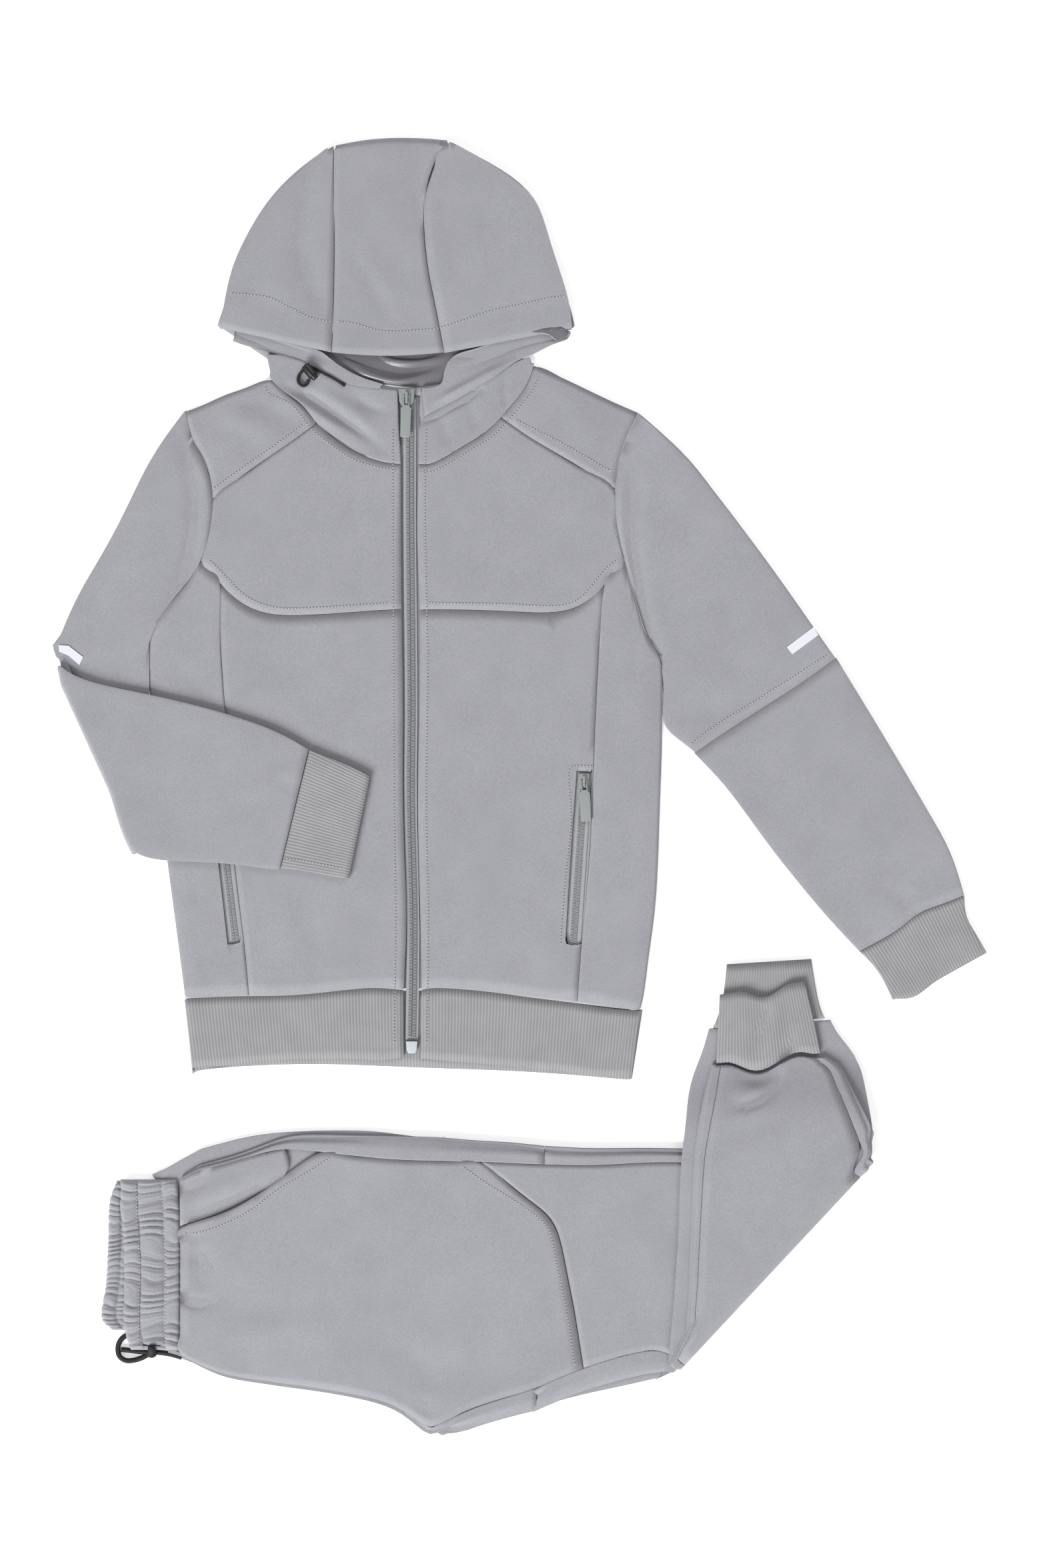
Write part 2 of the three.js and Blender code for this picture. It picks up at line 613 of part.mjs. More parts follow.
function leftSleeve() {
  const spans = 5;
  const layer = JACKET_TUBE + GAP;
  const axis = layer - GAP / 2;
  const start = new THREE.Vector2(FOLD_LEFT.startX, FOLD_LEFT.startY);
  const end = new THREE.Vector2(FOLD_LEFT.endX, FOLD_LEFT.endY);
  const outward = new THREE.Vector2(end.y - start.y, start.x - end.x).normalize();
  const line = resampled([start, end], spans).map((p) => p.addScaledVector(outward, -axis));
  const lowerEnd = resampled([new THREE.Vector2(-346.5, 108), new THREE.Vector2(-277, -47)], 9);

  const upper = tubeFrom(SLEEVE.outerUpperLeft, SLEEVE.innerUpperLeft, ARMHOLE.Left, lowerEnd, 9, 6);
  const upperTube = closedTube(upper.map((row) => laid(row, 0)), JACKET_TUBE);
  add('sleeve_left_upper', cut(upperTube, bodyPrism()), 'cloth');

  const seam = resampled(lowerEnd, spans).map((p) => p.addScaledVector(outward, GAP));
  const turn = [0, 45, 90, 135, 180].map((fold) => ({ line, fold, outward, axis, radius: axis }));
  const over = LOWER_LEFT.map((row) => ({ line: between(row, spans), base: level(layer), flipped: true }));
  add('sleeve_left_lower', closedTube([laid(seam, 0), ...turn, ...over], JACKET_TUBE), 'cloth');
  const cuff = trimmed(CUFF_LEFT.map((row) => between(row, 4)));
  add('cuff_left', closedTube(cuff.map((row) => laid(row, layer)), JACKET_TUBE), 'rib');
}

// Hood. Its top layer is over the lining and the lips; it turns under at the outline.
const HOOD_TOP = 7.4;
const HOOD_BEND = HOOD_TOP / 2;
const HOOD_LEFT = table([
  ['seamX', 'seamY', 'edgeX', 'edgeY', 'underX', 'underY'],
  [-141.5, 324.5, -226, 343, -141, 299.7],
  [-140.6, 345, -222, 364, -141, 325],
  [-140, 365.5, -217, 386, -141, 350],
  [-139.5, 398, -207, 409.5, -141, 385],
  [-139.5, 427, -190, 437.5, -140, 420],
  [-140, 450, -168.5, 460, -140, 450],
  [-139.7, 478.6, -150, 473.6, -139.7, 477.6],
]);
const HOOD_RIGHT = table([
  ['seamX', 'seamY', 'edgeX', 'edgeY', 'underX', 'underY'],
  [-57, 324, 39, 342.5, -57, 299.7],
  [-61, 345, 36.5, 363, -57, 325],
  [-65, 365.5, 29.5, 387, -58, 350],
  [-70, 392, 21, 413, -60, 385],
  [-72.5, 425, 10.5, 440, -62, 420],
  [-70, 447, -14.5, 462, -62, 450],
  [-57.6, 481.2, -44, 477.6, -57.6, 480.2],
]);
const HOOD_CENTRE = table([
  ['y', 'left', 'right', 'z'],
  [322, -141.2, -57.3, 7.4],
  [345, -140.3, -61.3, 7.4],
  [365.5, -139.7, -65.3, 7.4],
  [392, -139.2, -70.3, 7.4],
  [425, -139.2, -72.8, 7.4],
  [447, -139.6, -70.3, 7.4],
  [474, -139.2, -63.4, 7.4],
  [480.5, -138.8, -59.2, 6.7],
  [484, -138.4, -57.4, 3.7],
  [480.5, -138.8, -59.2, 0.7],
  [473, -139.4, -63.4, 0],
  [450, -139.7, -62.6, 0],
  [420, -139.7, -62.6, 0],
  [350, -140.7, -58.3, 0],
  [300.8, -140.7, -57.3, 0],
]);

function hoodSide(name, rows, side, outerLow) {
  const across = [0, 0.33, 0.66, 1];
  const outer = rows.map((row, j) => {
    const seam = new THREE.Vector2(row.seamX + side * GAP / 2, row.seamY);
    const edge = new THREE.Vector2(row.edgeX, row.edgeY);
    const under = new THREE.Vector2(row.underX + side * GAP / 2, row.underY);
    const out = edge.clone().sub(seam).normalize();
    const bend = edge.clone().addScaledVector(out, -HOOD_BEND);
    const over = across.map((share) => seam.clone().lerp(bend, share));
    const below = reversed(across).map((share) => under.clone().lerp(bend, share));
    if (j === 0) {
      below[1].copy(outerLow[0]);
      below[2].copy(outerLow[1]);
    }
    const arc = [-60, 0, 60].map((angle) => {
      const tilt = THREE.MathUtils.degToRad(angle);
      const p = bend.clone().addScaledVector(out, HOOD_BEND * Math.cos(tilt));
      return new THREE.Vector3(p.x, p.y, HOOD_BEND - HOOD_BEND * Math.sin(tilt));
    });
    return [
      ...over.map((p) => new THREE.Vector3(p.x, p.y, HOOD_TOP)),
      ...arc,
      ...below.map((p) => new THREE.Vector3(p.x, p.y, 0)),
    ];
  });
  const inner = outer.map((row) => row.map((p, i) => {
    const inward = new THREE.Vector3(0, 0, i < 4 ? -1 : 1);
    if (i >= 4 && i <= 6) {
      const out = row[3].clone().sub(row[0]).setZ(0).normalize();
      const angle = THREE.MathUtils.degToRad([-60, 0, 60][i - 4]);
      inward.copy(out).multiplyScalar(-Math.cos(angle)).setZ(Math.sin(angle));
    }
    return p.clone().addScaledVector(inward, WALL);
  }));
  add(name, wallGeometry(outer, inner), 'cloth');
}

function hood() {
  hoodSide('hood_side_left', HOOD_LEFT, -1, [new THREE.Vector2(-163, 302), new THREE.Vector2(-187.5, 308)]);
  hoodSide('hood_side_right', HOOD_RIGHT, 1, [new THREE.Vector2(-26, 303.8), new THREE.Vector2(7.5, 316.5)]);
  const spans = 4;
  const last = HOOD_CENTRE.length - 1;
  const crown = (share) => 4 * share * (1 - share);
  const outer = HOOD_CENTRE.map((row) => Array.from({ length: spans + 1 }, (_, i) => {
    const share = i / spans;
    const top = row.y > 475 ? 1.8 * crown(share) - 4.2 * (1 - share) ** 3 : 0;
    const hem = row.y < 325 && row.z > 1 ? 2.5 * (1 - crown(share)) : 0;
    return new THREE.Vector3(THREE.MathUtils.lerp(row.left, row.right, share), row.y + top + hem, row.z);
  }));
  const inner = outer.map((row, j) => row.map((p, i) => {
    const before = outer[Math.max(0, j - 1)][i];
    const after = outer[Math.min(last, j + 1)][i];
    const along = new THREE.Vector2(after.y - before.y, after.z - before.z).normalize();
    return new THREE.Vector3(p.x, p.y + along.y * WALL, p.z - along.x * WALL);
  }));
  add('hood_centre', wallGeometry(outer, inner), 'cloth');

  const lining = patch(
    curve([[-214, 344], [-150, 340], [-90, 338], [-30, 340], [28, 344]], 8),
    curve([[-212, 338], [-150, 316], [-98, 300.5], [-60, 300.5], [-20, 316], [26, 336]], 8),
    curve([[-214, 344], [-212, 338]], 3),
    curve([[28, 344], [26, 336]], 3),
  );
  add('hood_lining', sheetGeometry(lining, level(WALL + GAP + 1), 1), 'lining');
}

// Collars are the lower fronts of the hood, and the lips its turned edge beside them.
// A row is a section of the lip, from its upper edge to its lower edge.
const COLLAR_TOP = JACKET_TUBE;
const LIP_TOP = COLLAR_TOP + GAP + 1;
const LIPS = {
  left: table([
    ['topX', 'topY', 'lowX', 'lowY'],
    [-213, 341, -215.5, 333],
    [-199, 339, -204, 329],
    [-184, 336.5, -190, 325.5],
    [-165, 331.5, -172, 320.5],
    [-152, 327, -160, 316.5],
    [-140, 318, -147, 310],
    [-127, 310, -134, 303],
    [-116, 305, -121, 299.5],
    [-103, 300.8, -106, 297.5],
  ]),
  right: table([
    ['topX', 'topY', 'lowX', 'lowY'],
    [26, 341.5, 31, 333.5],
    [16, 341, 20, 328.5],
    [0, 338, 8, 322.5],
    [-18, 333, -3, 318],
    [-35, 327, -16, 308.5],
    [-50, 322, -27, 301.5],
    [-57, 311, -35, 297],
    [-60, 301, -46, 290.5],
    [-74, 298, -72, 277],
  ]),
};

function collars() {
  const leftTop = curve([
    [-190.5, 323], [-172, 323], [-150, 314], [-130, 304], [-112, 299.5], [-92, 297],
  ], 11);
  const left = patch(leftTop, joined(SEAM.neckYokeLeft, SEAM.neckChestLeft),
    curve([[-190.5, 323], [-188, 311], [-187, 304.5]], 4), SEAM.zipCollarLeft);
  add('collar_left', sheetGeometry(insetGrid(left), level(COLLAR_TOP)), 'cloth');
  const rightTop = curve([[-75, 297], [-52, 298.5], [-35, 300], [-16, 309.5], [-3, 318], [7, 321.5]], 11);
  const right = patch(rightTop, joined(SEAM.neckChestRight, SEAM.neckYokeRight), SEAM.zipCollarRight,
    curve([[7, 321.5], [8, 318], [10, 315]], 4));
  add('collar_right', sheetGeometry(insetGrid(right), level(COLLAR_TOP)), 'cloth');
  for (const [side, rows] of Object.entries(LIPS)) {
    const grid = rows.map((row) => between(row, 2));
    add(`hood_lip_${side}`, sheetGeometry(grid, level(LIP_TOP), 1), 'cloth');
  }
}

// Joggers. A row is a section across a leg, from its top edge to its lower edge; out and in are
// how far the outer and inner leg seams lie in from those edges.
const NEAR_THIGH = table([
  ['topX', 'topY', 'lowX', 'lowY', 'out', 'in'],
  [-255, -289, -255.3, -425, 2, 0],
  [-226, -282, -226, -439, 2, 0],
  [-201, -274.5, -201, -444, 2.2, 0],
  [-176.5, -266, -176.5, -447.5, 5.5, 0],
  [-149.5, -264.5, -149.5, -451, 9, 0],
  [-115, -265.5, -115, -457.5, 12, 0],
  [-88, -266.5, -88, -467.5, 13, 0],
  [-67, -267.3, -67, -482.5, 13, 2.4],
  [-50, -268.5, -50, -480, 12, 8],
  [-30, -270, -30, -474.5, 11, 11],
  [-8, -271, -8, -468, 11, 11.5],
  [18, -273.5, 12, -463.5, 9.5, 13.5],
  [45, -274.5, 47, -449.5, 9, 14],
  [69, -274.5, 78, -440.5, 8.5, 14.5],
  [105, -274.3, 97.5, -436.5, 7, 14.5],
  [160, -277, 103, -435, 6, 12],
  [205, -280, 106, -434, 6, 10],
  [240, -283, 108, -433, 6, 8],
]);
const KNEE_ROW = 11; // the section where the thigh meets the knee pieces

// The far leg under it: one filled form with its edges showing
const FAR_THIGH = table([
  ['topX', 'topY', 'lowX', 'lowY'],
  [-262, -283, -262, -420],
  [-230, -272.5, -230, -434],
  [-188, -263.5, -188, -443],
  [-122.5, -262, -122.5, -453],
  [-96, -264, -96, -461],
  [-69, -267.5, -69, -477],
  [-58.5, -268.5, -58.5, -486],
  [-41, -270, -41, -479],
  [24.5, -275, 24.5, -458.5],
  [59.5, -276, 59.5, -450],
  [105, -276, 97.5, -442],
  [160, -278, 100, -439.5],
  [205, -281, 103.5, -438.5],
  [240, -284, 106, -437.5],
]);

// The lower legs, turned up along the knee fold. The far leg ends up on top.
const KNEE_FOLD = { startX: 119, startY: -437.5, endX: 260, endY: -286.5 };
const FOLD_BEND = 2 * LEG_TUBE + 1.5 * GAP; // half the height of the four layers at the fold
const FAR_SHIN = table([
  ['leftX', 'leftY', 'rightX', 'rightY', 'left', 'right'],
  [124.5, -407, 258, -268, 6.5, 8],
  [127.5, -383.5, 259, -258, 5.5, 9],
  [128.5, -350, 255.5, -248, 6, 9],
  [130, -314, 250, -236, 6, 8],
  [131.5, -276, 244, -223, 7, 7.5],
  [137, -238.5, 237.5, -210, 8, 7],
  [143.5, -209.5, 228, -203, 6, 8],
]);
const NEAR_SHIN = table([
  ['leftX', 'leftY', 'rightX', 'rightY'],
  [117, -385, 261, -263.5],
  [120, -341.5, 259.5, -249],
  [122, -285.5, 254.5, -219.5],
  [125, -255, 250.5, -207],
  [129.5, -221.5, 245, -197],
  [144, -182.5, 229.5, -176],
]);
const NEAR_CUFF = table([
  ['leftX', 'leftY', 'rightX', 'rightY'],
  [145, -181, 228, -174],
  [151.5, -160, 223, -160],
  [154.5, -133.5, 218, -129.5],
]);
const FAR_CUFF = table([
  ['leftX', 'leftY', 'rightX', 'rightY'],
  [146.5, -207.5, 224, -200],
  [148, -180, 219, -173],
  [149, -156, 212, -146],
]);

function acrossLeg(row) {
  return [new THREE.Vector2(row.leftX, row.leftY), new THREE.Vector2(row.rightX, row.rightY)];
}

// Where the shins leave the thigh they come down to the floor, the far shin on the near one
function shinBase(height) {
  const upper = height > UNDER_LEG;
  const onThigh = upper ? -255 : -262;
  const onFloor = upper ? -200 : -204;
  const slack = upper ? 2.4 * GAP : 0;
  return (p) => {
    const share = THREE.MathUtils.clamp((p.y - onThigh) / (onFloor - onThigh), 0, 1);
    return height - UNDER_LEG * share * share * (3 - 2 * share) + 4 * slack * share * (1 - share);
  };
}

// A near thigh section with points at both leg seams
function seamedLine(row, middle) {
  const top = new THREE.Vector2(row.topX, row.topY);
  const low = new THREE.Vector2(row.lowX, row.lowY);
  const width = top.distanceTo(low);
  const out = top.clone().lerp(low, row.out / width);
  const into = low.clone().lerp(top, row.in / width);
  return { line: resampled([top, low], middle), out, into };
}

function nearThigh() {
  const base = LEG_TUBE + GAP;
  const sections = NEAR_THIGH.map((row) => {
    const { line, out, into } = seamedLine(row, 3);
    return { line, out, into, base: level(base), reach: [row.out, row.in] };
  });
  const shifted = (section, by) => ({
    ...section,
    line: section.line.map((p) => new THREE.Vector2(p.x + by, p.y)),
  });
  const knee = sections[KNEE_ROW];
  const thigh = [...sections.slice(0, KNEE_ROW), shifted(knee, -GAP / 2)];
  const below = [shifted(knee, GAP / 2), ...sections.slice(KNEE_ROW + 1)];
  add('back_near_thigh', openTube(thigh, LEG_TUBE), 'cloth');
  add('back_near_knee', openTube(below, LEG_TUBE), 'cloth');
  nearFronts(sections, base + LEG_TUBE);
}

const POCKET_MOUTH = curve([
  [-254.8, -330], [-232, -323], [-203, -309], [-176.5, -291], [-149.5, -273.5],
], 4);
const KNEE_SEAM = curve([
  [-30, -281], [0.5, -305], [26.5, -329.5], [32, -352.5], [39.5, -389], [47, -435.5],
], 8);
const WAIST_SEAM = curve([[-254.8, -330], [-254.8, -376], [-255, -424.7]], 8);

// Front pieces of the near leg, on the top between the leg seams
function nearFronts(sections, top) {
  const outSeam = sections.map((section) => section.out);
  const inSeam = sections.map((section) => section.into);
  const lowEdge = NEAR_THIGH.map((row) => new THREE.Vector2(row.lowX, row.lowY));
  const drop = LEG_TUBE / 2 - WALL - GAP;
  const height = (p) => {
    const share = Math.min(1, distanceTo(lowEdge, p) / (2 * LEG_TUBE));
    return top - drop * (1 - Math.sqrt(1 - (1 - share) ** 2));
  };
  const kneeOut = 9;
  const kneeIn = 12;
  const mouthRow = 4;
  const thighTop = joined(POCKET_MOUTH, refined(outSeam.slice(mouthRow, kneeOut + 1), kneeIn - mouthRow));
  const thighLow = inSeam.slice(0, kneeIn + 1);
  const front = patch(thighTop, thighLow, WAIST_SEAM, KNEE_SEAM);
  add('front_near', sheetGeometry(insetGrid(front, GAP), height), 'cloth');

  const facingTop = outSeam.slice(0, mouthRow + 1);
  const facing = facingTop.slice(0, -1).map((p, i) => [p, p.clone().lerp(POCKET_MOUTH[i], 0.97)]);
  const facingGrid = facing.map((row) => insetGrid([row, row])[0]);
  add('pocket_facing_near', sheetGeometry(facingGrid, level(top), WALL), 'cloth');

  const ends = sections.length - 1;
  const kneeTop = outSeam.slice(kneeOut, ends + 1);
  const kneeLow = refined(inSeam.slice(kneeIn, ends + 1), ends - kneeOut);
  const kneeEnd = resampled([outSeam[ends], inSeam[ends]], 8);
  const kneePatch = patch(kneeTop, kneeLow, KNEE_SEAM, kneeEnd);
  add('knee_near', sheetGeometry(insetGrid(kneePatch, GAP), height), 'cloth');
}

function farThigh() {
  const sections = FAR_THIGH.map((row) => laid(between(row, 3), 0));
  add('leg_far_thigh', filledTube(sections, LEG_TUBE), 'cloth');
}

// Rows of a leg round the knee fold; h is 0 on the leg's outer side, which ends up on top
function foldRows(radius, spans) {
  const start = new THREE.Vector2(KNEE_FOLD.startX, KNEE_FOLD.startY);
  const end = new THREE.Vector2(KNEE_FOLD.endX, KNEE_FOLD.endY);
  const outward = new THREE.Vector2(end.y - start.y, start.x - end.x).normalize();
  const line = resampled([start, end], spans).map((p) => p.clone().addScaledVector(outward, -FOLD_BEND));
  const lead = line.map((p) => p.clone().addScaledVector(outward, -1));
  const turn = [0, 45, 90, 135, 180].map((fold) => ({ line, fold, outward, axis: FOLD_BEND, radius }));
  return { lead, turn };
}

function shins() {
  const farRise = shinBase(OVER_LEG);
  const nearRise = shinBase(UNDER_LEG);
  const near = foldRows(FOLD_BEND - LEG_TUBE - GAP, 3);
  const nearRows = finer(NEAR_SHIN, 12).map((row) => ({
    line: resampled(acrossLeg(row), 3),
    base: nearRise,
    flipped: true,
  }));
  const nearSections = [laid(near.lead, LEG_TUBE + GAP), ...near.turn, ...nearRows];
  add('shin_near', filledTube(nearSections, LEG_TUBE), 'cloth');

  const far = foldRows(FOLD_BEND, 3);
  const farRows = finer(FAR_SHIN, 12).map((row) => ({
    line: resampled(acrossLeg(row), 3),
    base: farRise,
    reach: [row.left, row.right],
  }));
  const reach = [6, 8];
  const open = [
    { line: far.lead, base: level(0), reach, flipped: true },
    ...far.turn.map((row) => ({ ...row, reach, flipped: true })),
    ...farRows,
  ];
  add('shin_far_back', openTube(open, LEG_TUBE), 'cloth');

  const front = open.map((section) => {
    const from = section.reach[0] + GAP;
    const to = lengthOf(section.line) - section.reach[1] - GAP;
    const places = Array.from({ length: 5 }, (_, i) => THREE.MathUtils.lerp(from, to, i / 4));
    const at = (s, h) => {
      const p = walk(section.line, s);
      if (section.fold === undefined) {
        const z = section.base(p) + (section.flipped ? h : LEG_TUBE - h);
        return new THREE.Vector3(p.x, p.y, z);
      }
      const angle = THREE.MathUtils.degToRad(section.fold);
      p.addScaledVector(section.outward, (section.radius - h) * Math.sin(angle));
      return new THREE.Vector3(p.x, p.y, section.axis - (section.radius - h) * Math.cos(angle));
    };
    return { outer: places.map((s) => at(s, 0)), inner: places.map((s) => at(s, WALL)) };
  });
  add('shin_far_front', wallGeometry(front.map((row) => row.outer), front.map((row) => row.inner)), 'cloth');

  const cuffRows = (rows, rise) => trimmed(rows.map((row) => resampled(acrossLeg(row), 4)))
    .map((line) => ({ line, base: rise }));
  add('cuff_near', closedTube(cuffRows(NEAR_CUFF, level(0)), LEG_TUBE), 'rib');
  add('cuff_far', closedTube(cuffRows(FAR_CUFF, level(LEG_TUBE + GAP)), LEG_TUBE), 'rib');
}

// Waistband: elastic in three channels, gathered all the way down its length
const BAND_GATHERS = 25;
const BAND_EDGES = table([
  ['y', 'left', 'right'],
  [-294.5, -300, -257.5],
  [-314, -300, -255.6],
  [-336, -298, -255.4],
  [-367, -297, -255.4],
  [-403, -297.5, -255.5],
  [-423.5, -292, -255.8],
]);
const BAND_CHANNELS = [0, 0.3, 0.68, 1]; // the stitched lines across the band's width

function waistbands() {
  const steps = BAND_GATHERS * 2;
  const left = curve(BAND_EDGES.map((row) => [row.left, row.y]), steps);
  const right = curve(BAND_EDGES.map((row) => [row.right, row.y]), steps);
  const spans = 2 * (BAND_CHANNELS.length - 1);
  const base = LEG_TUBE + GAP;
  const outer = left.map((from, j) => Array.from({ length: spans + 1 }, (_, i) => {
    const low = BAND_CHANNELS[Math.floor(i / 2)];
    const high = BAND_CHANNELS[Math.ceil(i / 2)];
    const p = from.clone().lerp(right[j], (low + high) / 2);
    const crest = j % 2 === 0 ? 0.6 : 0;
    const end = j === 0 || j === steps || i === 0 || i === spans;
    const z = i % 2 === 0 ? base + 2.6 + crest : base + 3.6 + 2.2 * crest;
    return new THREE.Vector3(p.x, p.y, end ? base + 1.6 + crest : z);
  }));
  const inner = outer.map((row) => row.map((p) => p.clone().setZ(base)));
  add('waistband_near', wallGeometry(outer, inner), 'cloth');

  const farRows = table([
    ['y', 'left', 'right'],
    [-291.5, -302, -266],
    [-309, -308, -266],
    [-341.5, -309.5, -264],
    [-372.5, -311, -264],
    [-400, -314, -264],
    [-408, -306, -266],
  ]);
  const scallops = 13;
  const farLeft = curve(farRows.map((row) => [row.left, row.y]), scallops * 2);
  const farRight = curve(farRows.map((row) => [row.right, row.y]), scallops * 2);
  const sections = farLeft.map((from, j) => {
    const pinch = j % 2 === 0 ? 1.6 : 0;
    return laid(resampled([new THREE.Vector2(from.x + pinch, from.y), farRight[j]], 2), 0);
  });
  add('waistband_far', filledTube(sections, LEG_TUBE), 'cloth');
}

// Zips, cords and trims
function strip(line, width, low, high) {
  const side = (sign) => line.map((p, i) => {
    const along = line[Math.min(line.length - 1, i + 1)].clone().sub(line[Math.max(0, i - 1)]).normalize();
    return new THREE.Vector2(p.x - (sign * along.y * width) / 2, p.y + (sign * along.x * width) / 2);
  });
  const top = [side(1), side(-1)].map((row) => row.map((p) => new THREE.Vector3(p.x, p.y, high)));
  return wallGeometry(top, top.map((row) => row.map((p) => p.clone().setZ(low))));
}

const FRONT_ZIP = curve([[-83, 290], [-83, 200], [-82, 60], [-82.5, -10], [-80.5, -105], [-81.5, -190]], 12);

// A pull tab: a long plate with a fork of two arms round the slider's bridge at its top
function pullGeometry(length, width, taper, thick) {
  const half = width / 2;
  const shape = new THREE.Shape([
    new THREE.Vector2(-half * 0.62, 1.6),
    new THREE.Vector2(half * 0.62, 1.6),
    new THREE.Vector2(half * 0.62, -6.6),
    new THREE.Vector2(half, -8),
    new THREE.Vector2(half - taper, -length + 0.6),
    new THREE.Vector2(half - taper - 0.7, -length),
    new THREE.Vector2(-half + taper + 0.7, -length),
    new THREE.Vector2(-half + taper, -length + 0.6),
    new THREE.Vector2(-half, -8),
    new THREE.Vector2(-half * 0.62, -6.6),
  ]);
  const hole = new THREE.Path([
    new THREE.Vector2(-1.5, 0.6),
    new THREE.Vector2(-1.5, -5.4),
    new THREE.Vector2(1.5, -5.4),
    new THREE.Vector2(1.5, 0.6),
  ]);
  shape.holes.push(hole);
  return bare(new THREE.ExtrudeGeometry(shape, {
    depth: thick - 0.5,
    bevelEnabled: true,
    bevelThickness: 0.25,
    bevelSize: 0.25,
    bevelOffset: -0.25,
    bevelSegments: 1,
  }).translate(0, 0, 0.25));
}

// A slider: a wedge-shaped body with a raised bridge that carries the pull tab
function sliderGeometry(width, length, thick, bridge) {
  const half = width / 2;
  const body = new THREE.Shape([
    new THREE.Vector2(-half, length / 2),
    new THREE.Vector2(half, length / 2),
    new THREE.Vector2(half * 0.9, -length / 4),
    new THREE.Vector2(half * 0.6, -length / 2),
    new THREE.Vector2(-half * 0.6, -length / 2),
    new THREE.Vector2(-half * 0.9, -length / 4),
  ]);
  const plate = bare(new THREE.ExtrudeGeometry(body, {
    depth: thick - 0.6,
    bevelEnabled: true,
    bevelThickness: 0.3,
    bevelSize: 0.3,
    bevelOffset: -0.3,
    bevelSegments: 1,
  }).translate(0, 0, 0.3));
  if (!bridge) return plate;
  const arch = new THREE.Shape([
    new THREE.Vector2(-length * 0.42, -0.4),
    new THREE.Vector2(-length * 0.34, bridge),
    new THREE.Vector2(length * 0.3, bridge),
    new THREE.Vector2(length * 0.42, -0.4),
    new THREE.Vector2(length * 0.26, -0.4),
    new THREE.Vector2(length * 0.2, bridge - 0.7),
    new THREE.Vector2(-length * 0.24, bridge - 0.7),
    new THREE.Vector2(-length * 0.28, -0.4),
  ]);
  const rail = bare(new THREE.ExtrudeGeometry(arch, { depth: 1.8, bevelEnabled: false }));
  rail.translate(0, 0, -0.9).rotateX(Math.PI / 2).rotateZ(Math.PI / 2).translate(0, 0, thick);
  return fused(plate, rail);
}

const PULLS = {
  front: { x: -85.3, y: 290.5, z: 6.7, turn: -2, slider: [-85.3, 291] },
  pocket: { x: 47.6, y: 2.5, z: 4.9, turn: 3, slider: [47.5, 4] },
};

function zips() {
  const [tapeLow, tapeHigh] = [1.9, 2.6];
  const coilTop = 3.8;
  add('zip_tape', strip(FRONT_ZIP, 9.5, tapeLow, tapeHigh), 'tape');
  const coil = curve([[-83, 283], [-83, 200], [-82, 60], [-82.5, -10], [-80.5, -105], [-81.5, -189]], 12);
  add('zip_coil', strip(coil, 6.4, tapeHigh + GAP, coilTop), 'tape');
  const slider = sliderGeometry(12, 12.5, 2.4, 2.8);
  add('zip_slider', slider.translate(PULLS.front.slider[0], PULLS.front.slider[1], coilTop + GAP), 'metal');
  const box = sliderGeometry(8.5, 9, 3.4, 0).translate(-81.5, -195.6, tapeLow);
  add('zip_box', box, 'clear');

  for (const pocket of POCKETS) {
    const ends = [[pocket.topX, pocket.topY - 0.4], [pocket.lowX, pocket.lowY + 0.4]];
    add(`pocket_zip_${pocket.side}`, strip(curve(ends, 4), pocket.width - 2 * GAP, 1.7, 2.4), 'tape');
  }
  const [sliderX, sliderY] = PULLS.pocket.slider;
  add('pocket_slider_right', sliderGeometry(8.5, 11, 2, 2.8).translate(sliderX, sliderY, 2.7), 'metal');
  add('pocket_slider_left', sliderGeometry(8, 11, 1.6, 0).translate(-228, 2.5, 2.7), 'metal');
}

// Pull tabs, each about its slider's bridge
function pulls() {
  const front = add('zip_pull', pullGeometry(29.5, 8, 0.3, 1.6), 'metal');
  front.position.set(PULLS.front.x, PULLS.front.y, PULLS.front.z);
  front.rotation.z = THREE.MathUtils.degToRad(PULLS.front.turn);
  const pocket = add('pocket_pull_right', pullGeometry(29, 8.2, 0.2, 1.6), 'metal');
  pocket.position.set(PULLS.pocket.x, PULLS.pocket.y, PULLS.pocket.z);
  pocket.rotation.z = THREE.MathUtils.degToRad(PULLS.pocket.turn);
}

// Reflective bars across the upper sleeves, laid on the cloth
const BARS = {
  bar_left: [[-346, 105.5], [-338.5, 105], [-327.5, 96.5], [-330.5, 90.5], [-338.5, 97.5], [-345.5, 100.5]],
  bar_right: [[199.5, 104], [219.5, 119], [223, 113], [203.5, 98.5]],
};

function bars() {
  for (const [name, rows] of Object.entries(BARS)) {
    const loop = rows.map(([x, y]) => new THREE.Vector2(x, y));
    add(name, plateGeometry(loop, JACKET_TUBE + GAP, JACKET_TUBE + 2 * GAP, 0), 'film');
  }
}

// Cords: round sections swept along hand-laid routes
function cordGeometry(route, diameter, steps, closed = false) {
  const path = new THREE.CatmullRomCurve3(route.map((p) => new THREE.Vector3(...p)), closed, 'centripetal');
  const shape = new THREE.Shape();
  shape.absarc(0, 0, diameter / 2, 0, 2 * Math.PI, false);
  return bare(new THREE.ExtrudeGeometry(shape, {
    curveSegments: 4,
    steps,
    extrudePath: path,
    bevelEnabled: false,
  }));
}

